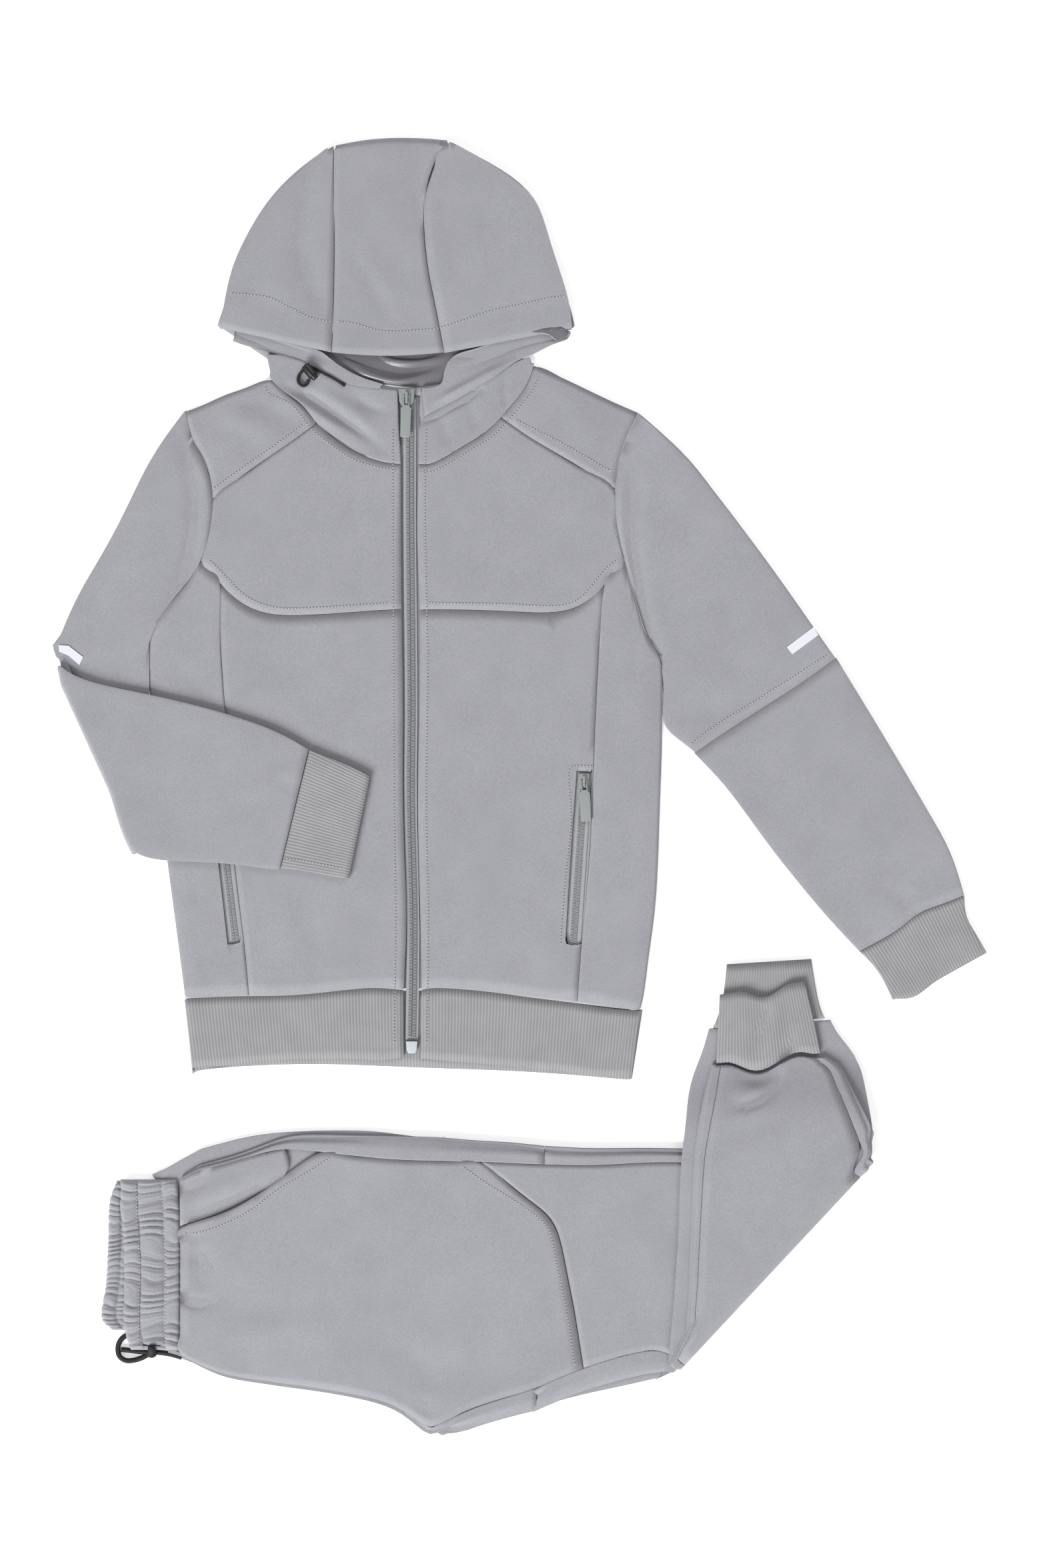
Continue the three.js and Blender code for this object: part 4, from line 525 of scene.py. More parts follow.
# Relief that the solids leave out, in millimetres up from them
CREASES = [
    # nodes, depth, half width, points
    ("hood_side_left", -0.9, 5, [
        (-150, 472), (-160, 440), (-164, 403), (-160, 385), (-150, 362), (-145, 345),
    ]),
    ("hood_side_left", -0.35, 6, [(-196, 372), (-180, 352), (-170, 338)]),
    ("hood_centre", -0.45, 4, [(-133, 408), (-119, 386), (-104, 362), (-96, 346)]),
    ("hood_centre", 0.35, 6, [(-120, 404), (-104, 380), (-94, 360)]),
    ("hood_centre", -0.5, 4, [(-71, 470), (-76, 458), (-76, 440), (-74, 424)]),
    ("hood_side_right", 0.5, 5, [(-60, 462), (-64, 440), (-64, 410), (-58, 380), (-52, 350)]),
    ("hood_side_right", -0.3, 8, [(-35, 345), (-10, 352), (30, 358)]),
    ("yoke_left", -0.55, 6, [(-216, 287), (-192, 285), (-174, 274), (-160, 264)]),
    ("yoke_left", -0.35, 6, [(-236, 274), (-210, 262), (-192, 250)]),
    ("yoke_left", 0.4, 6, [(-222, 276), (-198, 270), (-182, 258)]),
    ("yoke_right", -0.3, 7, [(8, 296), (24, 284), (32, 262)]),
    ("collar_left", 0.9, 4, [(-184, 297), (-169, 289), (-144, 273), (-125, 263)]),
    ("collar_left", -1.0, 4, [(-176, 300), (-155, 290), (-135, 276), (-115, 262), (-104, 252)]),
    ("collar_left", 0.6, 5, [(-150, 296), (-128, 282), (-108, 266)]),
    ("collar_left", -0.8, 4, [(-176, 284), (-158, 270), (-138, 257), (-120, 249)]),
    ("collar_left", -0.6, 4, [(-125, 292), (-112, 284), (-100, 280)]),
    ("hood_lining", 1.9, 3, [(-130, 317), (-112, 307), (-90, 303), (-66, 309)]),
    ("hood_lining", -1.2, 2.6, [(-126, 322), (-104, 314), (-82, 311), (-60, 316)]),
    ("hood_lining", 1.5, 2.6, [(-116, 327), (-98, 320), (-76, 318), (-54, 324)]),
    ("hood_lining", -1.4, 5, [(-140, 325), (-110, 322), (-80, 322), (-50, 325)]),
    ("hood_lining", -0.9, 3, [(-124, 311), (-104, 302), (-84, 298), (-66, 300)]),
    ("hood_lip_right", -2.0, 4, [(-50, 322), (-20, 328), (10, 336), (36, 341)]),
    ("hood_lip_right", 1.4, 3, [(-66, 286), (-40, 300), (-6, 318)]),
    ("hood_lip_left", -1.0, 3, [(-222, 341), (-200, 336), (-170, 326), (-145, 319)]),
    ("pocket_facing_near", -1.6, 3.2, [(-246, -324), (-233, -319), (-219, -312)]),
    ("collar_right", -2.4, 3, [(-76, 272), (-58, 282), (-30, 297)]),
    ("collar_right", -0.35, 5, [(-58, 282), (-58, 268), (-52, 254)]),
    ("collar_right", -0.3, 5, [(-40, 292), (-36, 278), (-30, 266)]),
    ("collar_right", -0.35, 3, [(-11, 309), (-12, 296), (-10, 282)]),
    ("hood_lip_left", -0.5, 3, [(-205, 334), (-172, 322), (-150, 310), (-134, 300)]),
    ("hood_lip_right", -0.6, 3.5, [(-44, 312), (-26, 320), (-6, 328)]),
    ("sleeve_left_upper", -1.3, 5, [
        (-256, 274), (-248, 245), (-244, 215), (-245, 190), (-252, 160), (-268, 136),
    ]),
    ("sleeve_left_upper", 0.6, 4, [(-244, 268), (-238, 240), (-236, 215), (-239, 185), (-246, 162)]),
    ("sleeve_left_upper", -0.5, 4, [(-346, 108), (-334, 117), (-322, 116), (-318, 104)]),
    ("sleeve_left_upper", -0.6, 8, [(-330, 92), (-300, 90), (-284, 96)]),
    ("sleeve_left_lower", -0.5, 6, [(-176, 3), (-192, -9), (-218, -22)]),
    ("sleeve_left_lower", -0.5, 5, [(-160, 30), (-172, 22), (-186, 10)]),
    ("sleeve_left_lower", -1.3, 2.2, [(-182, 5), (-175, 2.5), (-167, 0)]),
    ("sleeve_left_lower", 0.4, 7, [(-166, 16), (-186, 2), (-210, -8)]),
    ("sleeve_right_upper", -1.1, 5, [
        (76, 262), (84, 225), (84, 190), (88, 155), (96, 120), (106, 96),
    ]),
    ("sleeve_right_upper", 0.5, 5, [(74, 240), (77, 205), (79, 175), (86, 140)]),
    ("sleeve_right_upper", -0.45, 8, [(108, 52), (126, 54), (152, 60), (176, 72)]),
    ("sleeve_right_lower", -0.8, 4, [(293, -94), (288, -84), (276, -78), (262, -78)]),
    ("sleeve_right_lower", -0.4, 10, [(298, -70), (270, -60), (246, -64)]),
    ("side_left", -0.4, 7, [(-262, 92), (-250, 80), (-234, 74)]),
    ("front_left", -0.25, 9, [(-205, 96), (-180, 84), (-160, 84)]),
    ("front_left", -0.3, 7, [(-160, -104), (-152, -120), (-158, -140)]),
    ("front_right", -0.25, 10, [(-40, 70), (0, 58), (30, 62)]),
    ("front_right", -0.3, 8, [(8, -112), (2, -128), (6, -142)]),
    ("front_near", 0.35, 2.2, [
        (-39.5, -281.5), (-1, -307), (21, -323), (25.5, -330), (31, -353), (38.5, -389), (46, -435),
    ]),
    ("front_near", -1.5, 3.2, [(-256, -303), (-244, -299), (-233, -291)]),
    ("front_near", -1.2, 2.4, [(-256, -338), (-247, -338), (-240, -337)]),
    ("front_near", -1.5, 3.4, [(-254, -381), (-246, -387), (-235, -386)]),
    ("front_near", -1.1, 6, [(-246, -346), (-236, -358), (-238, -376)]),
    ("front_near", 0.8, 5, [(-250, -352), (-246, -364), (-248, -376)]),
    ("front_near", -0.7, 16, [(-236, -376), (-212, -388), (-196, -404)]),
    ("front_near", 0.6, 10, [(-206, -412), (-176, -404), (-146, -400)]),
    ("front_near", -0.5, 12, [(-120, -410), (-90, -426), (-60, -440), (-20, -440)]),
    ("front_near", -0.6, 4, [(-84, -462), (-70, -466), (-62, -472)]),
    ("front_near", -0.4, 5, [(-48, -424), (-58, -440), (-76, -452)]),
    ("front_near", -0.25, 12, [(-70, -346), (-96, -376), (-120, -396)]),
    ("front_near", 0.25, 12, [(-50, -356), (-80, -384), (-110, -404)]),
    ("knee_near", -0.3, 10, [(96, -340), (74, -366), (52, -398)]),
    ("pocket_facing_near", -1.3, 3.5, [(-256, -303), (-244, -299), (-232, -290)]),
    ("pocket_facing_near", -1.2, 5, [(-246, -322), (-224, -314), (-200, -303), (-184, -294)]),
    ("pocket_facing_near", 0.6, 5, [(-248, -314), (-226, -302), (-206, -290)]),
    ("cuff_far", -1.2, 4, [(184, -160), (183, -172), (178, -184), (173, -194)]),
    ("cuff_far", 0.8, 4, [(192, -160), (190, -178), (184, -194)]),
    ("cuff_far", -0.9, 4, [(206, -184), (201, -195), (193, -203)]),
    ("shin_far_front", -1.8, 3, [(158, -239), (174, -237), (186, -229), (191, -217), (189, -207)]),
    ("shin_far_front", 0.9, 5, [(160, -230), (174, -227), (181, -219)]),
    ("shin_far_front", -0.5, 8, [(150, -262), (176, -256), (200, -244)]),
    ("shin_far_front", -0.3, 12, [(150, -330), (164, -352), (158, -380)]),
]


CREASE_DEPTH = 1.9  # how strongly the creases above are worked into the cloth


def crease_relief(node, xy):
    """Soft troughs and ridges that fade out at both ends."""
    relief = np.zeros(len(xy))
    for name, depth, width, rows in CREASES:
        if name != node:
            continue
        line = smooth_line(rows, 3)
        near, place = line_distance(line, xy)
        total = along(line)[-1]
        fade = np.clip(np.minimum(place, total - place) / (0.3 * total), 0, 1)
        fade = 0.25 + 0.75 * fade * fade * (3 - 2 * fade)
        relief += CREASE_DEPTH * depth * fade * np.exp(-(near / width) ** 2)
    return relief


def drift(xy, scale, phase):
    """Slow, uneven swells: a few crossing waves."""
    x, y = (xy / scale).T
    return (
        np.sin(1.3 * x + 0.7 * y + phase)
        + 0.8 * np.sin(-0.9 * x + 1.7 * y + 2.1 * phase)
        + 0.6 * np.sin(2.3 * x - 1.1 * y + 0.7 * phase)
    ) / 2.4


NUDGES = [
    # nodes, centre, reach, shift
    (["sleeve_left_upper"], (-346, 98), 17, (-5, 0)),
    (["sleeve_left_lower"], (-350, 87), 13, (3, -1)),
    (["sleeve_left_lower"], (-290, -42), 46, (-4.5, 0)),
    (["cuff_far"], (183, -151), 19, (0, -7)),
    (["hood_centre"], (-60, 470), 17, (1.7, 0)),
    (["cuff_far", "shin_far_front", "shin_far_back"], (178, -205), 24, (0, -8.5)),
    (["cuff_far", "shin_far_front", "shin_far_back"], (208, -201), 12, (0, 2.5)),
    (["leg_far_thigh"], (-264, -277), 28, (-12, -13)),
    (["back_near_thigh", "pocket_facing_near"], (-264, -277), 26, (3, -9)),
    (["hood_side_right"], (-56, 477), 17, (-2.6, 1.5)),
    (["hood_centre"], (-56, 483), 12, (2.4, -0.4)),
    (["hood_lip_right"], (26, 342), 12, (11, -1)),
    (["hood_lip_right"], (31, 334), 9, (3, 1)),
    (["leg_far_thigh", "back_near_thigh", "front_near"], (-57, -489), 14, (0, 4)),
    (["leg_far_thigh", "back_near_knee"], (107, -435), 14, (8, -1)),
    (["shin_near", "shin_far_back"], (257, -277), 15, (4.5, 0)),
]


def nudged(node, points):
    """Small local shifts that round an outline off."""
    for nodes, centre, reach, shift in NUDGES:
        if node in nodes:
            far = np.linalg.norm(points[:, :2] - np.array(centre), axis=1)
            share = np.clip(1 - (far / reach) ** 2, 0, 1) ** 2
            points[:, :2] += share[:, None] * np.array(shift)
    return points


PINCH_WIDTH = 1.8  # how far in from its seams a panel dips
PINCH_SHARE = 0.15  # how much of the table's pinch is used
RIM_WIDTH = 8  # how far in from its seams a panel swells less
WIDE_SWELL = 34  # size of the slow swells
SMALL_SWELL = 9  # size of the small ones, a quarter as high


def settle(piece, node, pinch, swell, phase):
    """Adds the cloth's relief to the side of a skin that looks up."""
    points = points_of(piece.data)
    rise = normals_of(piece.data)[:, 2]
    looks_up = np.clip((rise - 0.15) / 0.5, 0, 1)  # nothing on walls, all of it on level cloth
    xy = points[:, :2]
    rim = distance_to(*edges_of(outline(node)), xy)[0]
    inside = 1 - np.exp(-(rim / RIM_WIDTH) ** 2)
    relief = -PINCH_SHARE * pinch * np.exp(-(rim / PINCH_WIDTH) ** 2)
    relief += crease_relief(node, xy)
    relief += swell * inside * drift(xy, WIDE_SWELL, phase)
    relief += 0.25 * swell * inside * drift(xy, SMALL_SWELL, 2 + phase)
    points[:, 2] = np.maximum(points[:, 2] + looks_up * relief, 0)
    set_points(piece.data, nudged(node, points))


def state_cut(piece):
    """Reads the points of a piece's mesh; nothing more is done with them. The area is half
    of the piece's own faces, so it can't disagree with the piece. The width comes from the
    piece's box, scaled where that box is too small or too large for the area.
    """
    mesh = piece.data
    points = points_of(mesh)


# Stitches: short rods in rows that follow the seams
STITCH_LENGTH = 1.75
STITCH_PITCH = 2.5
STITCH_WIDTH = 0.7
STITCH_LIFT = 0.12  # how far a stitch's middle stands clear of the cloth
STITCH_TAPER = (0.25, 0.85, 1, 0.85, 0.25)  # its thickness from one end to the other
STITCH_SIDES = 6


def stitch_row(points, faces, line, surface, pitch):
    """Adds a row of stitches along a line, lying on a surface."""
    for k in range(int(along(line)[-1] / pitch)):
        start = (k + 0.5) * pitch - STITCH_LENGTH / 2
        spots = at(line, start + np.linspace(0, STITCH_LENGTH, len(STITCH_TAPER)))
        heights = [surface(spot) for spot in spots]
        if None in heights:
            continue
        first = len(points)
        way = spots[-1] - spots[0]
        way /= max(np.linalg.norm(way), 1e-9)
        side = np.array([-way[1], way[0]])
        for spot, height, share in zip(spots, heights, STITCH_TAPER):
            radius = 0.5 * STITCH_WIDTH * share
            for angle in turns(STITCH_SIDES):
                x, y = spot + side * radius * math.cos(angle)
                points.append((x, y, height + STITCH_LIFT * share + 0.8 * radius * math.sin(angle)))
        faces += ring_faces(len(STITCH_TAPER), STITCH_SIDES, first)


def surface_of(pieces):
    """Height of the highest of some pieces at a place, or None beside them."""
    trees = [tree_of(piece.data) for piece in pieces]

    def height(spot):
        found = None
        for tree in trees:
            hit = tree.ray_cast(Vector((spot[0] * MM, spot[1] * MM, 0.1)), Vector((0, 0, -1)))[0]
            if hit is not None and (found is None or hit.z / MM > found):
                found = hit.z / MM
        return found

    return height


def photo(*rows):
    """Places read off the photograph, in its pixels, as millimetres in the frame."""
    return [((x - 781) / 2, (1179 - y) / 2) for x, y in rows]


STITCHES = [
    # nodes the row lies on, line
    (["yoke_left"], photo((458, 635), (390, 684), (318, 735))),
    (["yoke_right"], photo((772, 629), (850, 669), (921, 710))),
    (["chest_left"], photo((313, 838), (341, 866), (371, 895), (413, 911), (481, 911), (587, 904))),
    (["chest_right"], photo((640, 904), (756, 906), (843, 908), (869, 898), (911, 851), (929, 838))),
    (["yoke_left", "chest_left"], photo(
        (398, 576), (403, 590), (437, 607), (467, 643), (495, 666), (526, 687), (550, 697), (602, 708),
    )),
    (["yoke_right", "chest_right"], photo(
        (627, 708), (647, 708), (671, 697), (706, 676), (736, 658), (760, 634), (784, 606), (798, 588),
        (810, 562),
    )),
    (["collar_left", "chest_left", "front_left", "hem_rib"], photo(
        (590, 640), (590, 760), (591, 1000), (592, 1200), (594, 1380), (592, 1568),
    )),
    (["collar_right", "chest_right", "front_right", "hem_rib"], photo(
        (640, 640), (638, 760), (642, 1000), (640, 1200), (643, 1380), (641, 1568),
    )),
    (["front_right"], photo(
        (893, 1149), (861, 1149), (855, 1153), (857, 1232), (849, 1313), (842, 1400), (841, 1422),
    )),
    (["front_left"], photo((324, 1148), (336, 1280), (352, 1414))),
    (["sleeve_right_upper"], photo((1244, 980), (1188, 1016), (1136, 1049), (1061, 1096), (1034, 1118))),
    (["hood_side_left", "hood_centre"], photo(
        (346, 441), (396, 446), (411, 450), (440, 465), (470, 479), (486, 482), (500, 484),
    )),
    (["hood_centre", "hood_side_right"], photo(
        (506, 484), (530, 486), (560, 495), (575, 498), (625, 497), (660, 493), (700, 480), (732, 469),
        (790, 456), (826, 448), (849, 446),
    )),
    (["front_near"], photo(
        (277, 1848), (302, 1846), (344, 1831), (379, 1812), (417, 1783), (459, 1758), (503, 1730),
    )),
    (["front_near"], photo(
        (693, 1747), (730, 1773), (776, 1801), (815, 1831), (824, 1843), (834, 1886), (849, 1959),
        (863, 2048),
    )),
    (["cuff_left"], photo((424, 1286), (459, 1291), (514, 1302))),
]
HOLE = 0.5  # radius of the dark disc at a stitch's end: painted shade of the needle hole
HOLE_LIFT = 0.06


def needle_hole_shades(points, faces, line, surface, pitch):
    """Adds small dark discs between the stitches of a row: painted shade of the needle holes."""
    for k in range(1, int(along(line)[-1] / pitch)):
        spot = at(line, np.array([k * pitch]))[0]
        hit = surface(spot)
        if hit is None:
            continue
        first = len(points)
        for angle in turns(STITCH_SIDES):
            x = spot[0] + HOLE * math.cos(angle)
            y = spot[1] + HOLE * math.sin(angle)
            points.append((x, y, hit + HOLE_LIFT))
        faces.append(tuple(range(first, first + STITCH_SIDES)))


def sew(seams, stitches, hole_shades, slot, pitch=STITCH_PITCH):
    """One piece of stitches and one of dark discs, painted shade of the needle holes, along seams that each
    lie on some nodes.
    """
    thread, dots = ([], []), ([], [])
    for nodes, rows in seams:
        line = smooth_line(rows, 1.0)
        surface = surface_of([SKIN[node] for node in nodes])
        stitch_row(*thread, line, surface, pitch)
        needle_hole_shades(*dots, line, surface, pitch)
    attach(mesh_object(stitches, *thread, slot, finish="thread"), BODY)
    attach(mesh_object(hole_shades, *dots, slot, smooth=False, finish="needle_hole_shade"), BODY)


# Rib knit: the map that the ribs follow
RIBS = {
    # node: middle of the seam side, middle of the hem side, half widths there
    "hem_rib": ((-80.5, -162), (-80.2, -217.5), 170, 163.3),
    "cuff_right": ((292.5, -103.75), (313.25, -141.75), 43.9, 39.9),
    "cuff_left": ((-168.25, -17.75), (-120.25, -33), 45.7, 38.5),
    "cuff_near": ((186.5, -177.5), (186.2, -131.5), 41.6, 31.8),
    "cuff_far": ((185.25, -203.75), (180.5, -151), 38.9, 31.9),
}


def map_ribs(piece, start, end, near_half, far_half):
    """Writes how far each point lies across and along a strip that narrows towards its hem."""
    start, end = np.array(start), np.array(end)
    length = np.linalg.norm(end - start)
    way = (end - start) / length
    side = np.array([way[1], -way[0]])
    xy = points_of(piece.data)[:, :2] - start
    run = xy @ way
    half = near_half + (far_half - near_half) * np.clip(run / length, 0, 1)
    across = xy @ side / half * near_half
    corners = np.empty(len(piece.data.loops), dtype=np.int32)
    piece.data.loops.foreach_get("vertex_index", corners)
    layer = piece.data.uv_layers.new(name="knit")
    layer.data.foreach_set("uv", (np.stack([across, run], axis=1)[corners] * MM).ravel())


# Waistbands: puffs between stitched channels, gathered by the elastic
NEAR_BAND = [
    # y, left, right
    (-294.5, -299.5, -257),
    (-314, -300, -254.9),
    (-336, -298, -254.6),
    (-367, -297, -254.6),
    (-403, -297.5, -254.7),
    (-422.2, -292, -255.4),
]
FAR_BAND = [
    (-296, -303, -266),
    (-310, -308, -266),
    (-341.5, -309.5, -264),
    (-372.5, -311, -264),
    (-400, -314, -264),
    (-408, -306, -266),
]
BAND_ROWS = 300
BAND_COLUMNS = 54
BAND_RIM = 0.5  # height of the band's edge above its base
BAND_ENDS = 0.025  # share of its run over which the band rounds off at each end
BAND_SIDES = 0.05  # and of its width, at each side
WAIST_SEAMS = [
    (["waistband_near"], photo((205.5, 1770), (208, 1840), (211, 1893), (210, 1960), (210, 2020))),
    (["waistband_near"], photo((243.5, 1773), (247, 1840), (249.6, 1903), (250, 1960), (249, 2022))),
]
WAIST_PITCH = 2.6


def puffs(place):
    """Rounded gathers with sharp valleys between them."""
    return np.abs(np.sin(math.pi * place)) ** 0.6


def gathers_at(t, s, channels, gathers, phase):
    """Height of the cloth above its base and how full it is, at shares t along and s across."""
    channel = np.clip(np.searchsorted(channels, s, side="right") - 1, 0, len(channels) - 2)
    low = np.take(channels, channel)
    high = np.take(channels, channel + 1)
    local = (s - low) / (high - low)
    arch = np.sqrt(np.clip(1 - (2 * local - 1) ** 2, 0, 1))
    wander = 0.5 * np.sin(11.3 * t + phase + 2.4 * channel)
    wander += 0.35 * np.sin(27 * t + 1.7 * channel + 2 * phase)
    bend = 0.16 * np.sin(3.4 * local + 9 * t + 1.6 * channel + phase)
    place = gathers * t + wander + bend
    full = puffs(place)
    small = puffs(2.6 * place + 0.35)
    strength = 0.7 + 0.35 * np.sin(17 * t + 1.3 * channel + phase)
    height = 1.2 + arch * (1.2 + 1.5 * strength * full + 0.35 * small) + 0.5 * full
    ends = np.clip(np.minimum(t, 1 - t) / BAND_ENDS, 0, 1) ** 0.5
    sides = np.clip(np.minimum(s, 1 - s) / BAND_SIDES, 0, 1) ** 0.5
    return BAND_RIM + (height - BAND_RIM) * np.minimum(ends, 0.35 + 0.65 * sides), full


def gathered_band(node, rows, channels, base, gathers, phase, rests_on):
    """A waistband of stitched channels, each gathered by the elastic inside it."""
    run = np.linspace(0, 1, BAND_ROWS)
    left = smooth_line([(row[1], row[0]) for row in rows], 0.5)
    left = at(left, run * along(left)[-1])
    right = smooth_line([(row[2], row[0]) for row in rows], 0.5)
    right = at(right, run * along(right)[-1])
    t, s = np.meshgrid(run, np.linspace(0, 1, BAND_COLUMNS), indexing="ij")
    height, full = gathers_at(t, s, channels, gathers, phase)
    x = left[:, None, 0] + (right - left)[:, None, 0] * s
    y = left[:, None, 1] + (right - left)[:, None, 1] * s
    x += (0.9 - 0.9 * full) * (1 - s) ** 8 + 0.7 * (full - 1) * s ** 8  # valleys draw the sides in
    points = np.stack([x, y, base + height], axis=-1).reshape(-1, 3).tolist()
    index = np.arange(BAND_ROWS * BAND_COLUMNS).reshape(BAND_ROWS, BAND_COLUMNS)
    corners = [index[:-1, :-1], index[:-1, 1:], index[1:, 1:], index[1:, :-1]]
    faces = np.stack(corners, axis=-1).reshape(-1, 4).tolist()
    rim = [*index[0, :-1], *index[:-1, -1], *index[-1, :0:-1], *index[:0:-1, 0]]
    first = len(points)
    count = len(rim)
    points += [(points[i][0], points[i][1], base) for i in rim]
    for i in range(count):
        after = (i + 1) % count
        faces.append((rim[i], first + i, first + after, rim[after]))
    faces.append(tuple(range(first, first + count)))
    piece = mesh_object(f"{node}_skin", points, faces, "waistband_cloth")
    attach(piece, BODY)
    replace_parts(piece, node)
    SKIN[node] = piece
    SHEETS[node] = ("folded", rests_on, 1)


def make_waistbands():
    gathered_band("waistband_far", FAR_BAND, [0, 0.22, 1], 0, 25, 0.4, "floor")
    gathered_band("waistband_near", NEAR_BAND, [0, 0.3, 0.72, 1], 4.3, 16, 1.9, "waistband_far")
    sew(WAIST_SEAMS, "waistband_stitching", "waistband_needle_shades", "waistband_cloth", WAIST_PITCH)


# Zips
FRONT_ZIP = [(-83, 283), (-83, 200), (-82, 60), (-82.5, -10), (-80.5, -105), (-81.5, -189)]
POCKET_ZIPS = {
    "left": [(-229, 9), (-213.5, -117)],
    "right": [(48, 9), (39.5, -118)],
}
TOOTH_PITCH = 1.15
TOOTH_INNER = 0.22  # where a coil starts, from the zip's middle line
TOOTH_INSET = 0.2  # how much narrower its top is


def tooth(points, faces, centre, way, inner, outer, low, high):
    """One coil of a zip: a small block across the tape, narrower at its top."""
    side = np.array([way[1], -way[0]])
    first = len(points)
    half = 0.33 * TOOTH_PITCH
    for z, inset in ((low, 0), (high, TOOTH_INSET)):
        for u, v in ((inner, -half), (outer, -half), (outer, half), (inner, half)):
            u += inset if u == inner else -inset
            v += 0.5 * inset if v < 0 else -0.5 * inset
            points.append((*(centre + side * u + way * v), z))
    for face in ((3, 2, 1, 0), (4, 5, 6, 7), (0, 1, 5, 4), (1, 2, 6, 5), (2, 3, 7, 6), (3, 0, 4, 7)):
        faces.append(tuple(first + i for i in face))


def coil(name, rows, reach, low, high, node=None):
    """Two rows of coils that interlock along a zip's line."""
    line = smooth_line(rows, 1.0)
    points, faces = [], []
    for k in range(int(along(line)[-1] / TOOTH_PITCH)):
        for sign, shift in ((1, 0.25), (-1, 0.75)):
            a, b = at(line, np.array([k + shift, k + shift + 0.1]) * TOOTH_PITCH)
            way = sign * (b - a) / max(np.linalg.norm(b - a), 1e-9)
            tooth(points, faces, a, way, TOOTH_INNER, reach, low, high)
    piece = mesh_object(name, points, faces, "zip_tape", smooth=False)
    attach(piece, BODY)
    if node:
        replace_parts(piece, node)


def bevelled(node, body=BODY, width=0.35):
    """A copy of a hard node with its edges rounded."""
    mesh = NODES[node].data.copy()
    mesh.transform(NODES[node].matrix_world)
    solid = bmesh.new()
    solid.from_mesh(mesh)
    bmesh.ops.remove_doubles(solid, verts=solid.verts, dist=1e-6)
    bmesh.ops.dissolve_limit(solid, angle_limit=math.radians(3), verts=solid.verts, edges=solid.edges)
    solid.to_mesh(mesh)
    solid.free()
    rough = linked("rough", mesh)
    modifier = rough.modifiers.new("bevel", "BEVEL")
    modifier.width = width * MM
    modifier.segments = 3
    modifier.limit_method = "ANGLE"
    modifier.angle_limit = math.radians(35)
    modifier.harden_normals = False
    fine = evaluated(rough)
    bpy.data.objects.remove(rough)
    return stand_in(node, fine, "fine", body)


def make_zips():
    coil("zip_teeth", FRONT_ZIP, 2.9, 2.9, 3.8, "zip_coil")
    for side, rows in POCKET_ZIPS.items():
        coil(f"pocket_teeth_{side}", rows, 2.6, 2.4, 3.1)
    for node in ("zip_slider", "zip_box", "pocket_slider_right", "pocket_slider_left"):
        bevelled(node)
    bevelled("zip_pull", "front_pull", 0.3)
    bevelled("pocket_pull_right", "pocket_pull", 0.3)


# Cords
HOOD_CORD = 2.2
HOOD_ROUTE = [
    (-131.5, 299.3, 5.8), (-134.9, 302, 5.8), (-141, 305.6, 5.8), (-147.9, 309.2, 5.8), (-151.8, 311.4, 6.4),
    (-154.6, 312.9, 7.2), (-159.5, 312.6, 7.6), (-163.4, 310.2, 6.6), (-166.2, 306.6, 5.9),
    (-166.2, 302.2, 5.9), (-163, 299.4, 5.9), (-159.8, 300.6, 5.9), (-158.9, 304.2, 6.6),
]
WAIST_CORD = 4.0
WAIST_ROUTE = [
    (-253.8, -428.2, 2.05), (-262, -425.9, 2.05), (-270, -424.6, 2.05), (-276, -424.3, 2.05),
    (-283, -424, 2.05), (-290, -423.4, 2.05), (-296.2, -422.6, 2.05), (-299.5, -422.3, 2.05),
]
BOW_ROUTE = [
    (-279.8, -426.4, 2.05), (-284, -428.6, 2.05), (-290, -430.4, 2.05), (-296, -430.5, 2.05),
    (-300.4, -427.6, 2.05), (-301.8, -423, 2.05), (-301.2, -418, 2.05), (-298.6, -413.9, 2.05),
    (-295, -411.6, 2.05),
]
KNOT_ROUTE = [(-275.9, -418.5, 9.4), (-275.9, -422, 8.2), (-276.2, -424.4, 6.2), (-276.4, -426, 4.6)]
KNOT_RADII = [(0, 2.2), (0.15, 2.9), (0.5, 3.0), (0.8, 4.2), (1, 2.6)]
SLIT = [(-283, -418.2), (-276, -418.6), (-268.8, -418.2)]
SLIT_RADII = [(0, 0.25), (0.1, 0.7), (0.9, 0.7), (1, 0.25)]
SLIT_LENGTH = 14
TUBE_SIDES = 12


def tube(name, route, radii, slot):
    """A closed tube along a route; radii are rows of a share of the route and the radius there."""
    line = smooth_line(route, 0.6)
    sizes = np.interp(np.linspace(0, 1, len(line)), *zip(*radii))
    points = []
    for place, way, radius in zip(line, np.gradient(line, axis=0), sizes):
        way = Vector(way).normalized()
        side = way.cross(Vector((0.3, 0.2, 1))).normalized()
        up = side.cross(way)
        for angle in turns(TUBE_SIDES):
            outward = math.cos(angle) * side + math.sin(angle) * up
            points.append(Vector(place) + float(radius) * outward)
    piece = mesh_object(name, points, ring_faces(len(line), TUBE_SIDES), slot)
    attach(piece, BODY)
    return piece


CORD_SPACING = 1.5


def cord(name, route, diameter, fittings, *nodes):
    """A free cord along a route, that stands for some nodes; the fittings are not used."""
    data = bpy.data.curves.new(name, "CURVE")
    data.dimensions = "3D"
    data.bevel_depth = diameter / 2 * MM
    data.bevel_resolution = 4
    data.use_fill_caps = True
    line = smooth_line(route, CORD_SPACING)
    spline = data.splines.new("POLY")
    spline.points.add(len(line) - 1)
    for point, place in zip(spline.points, line):
        point.co = (*(place * MM), 1)
    piece = linked(name, data)
    dress(piece, "black_cord")
    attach(piece, BODY)
    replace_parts(piece, *nodes)


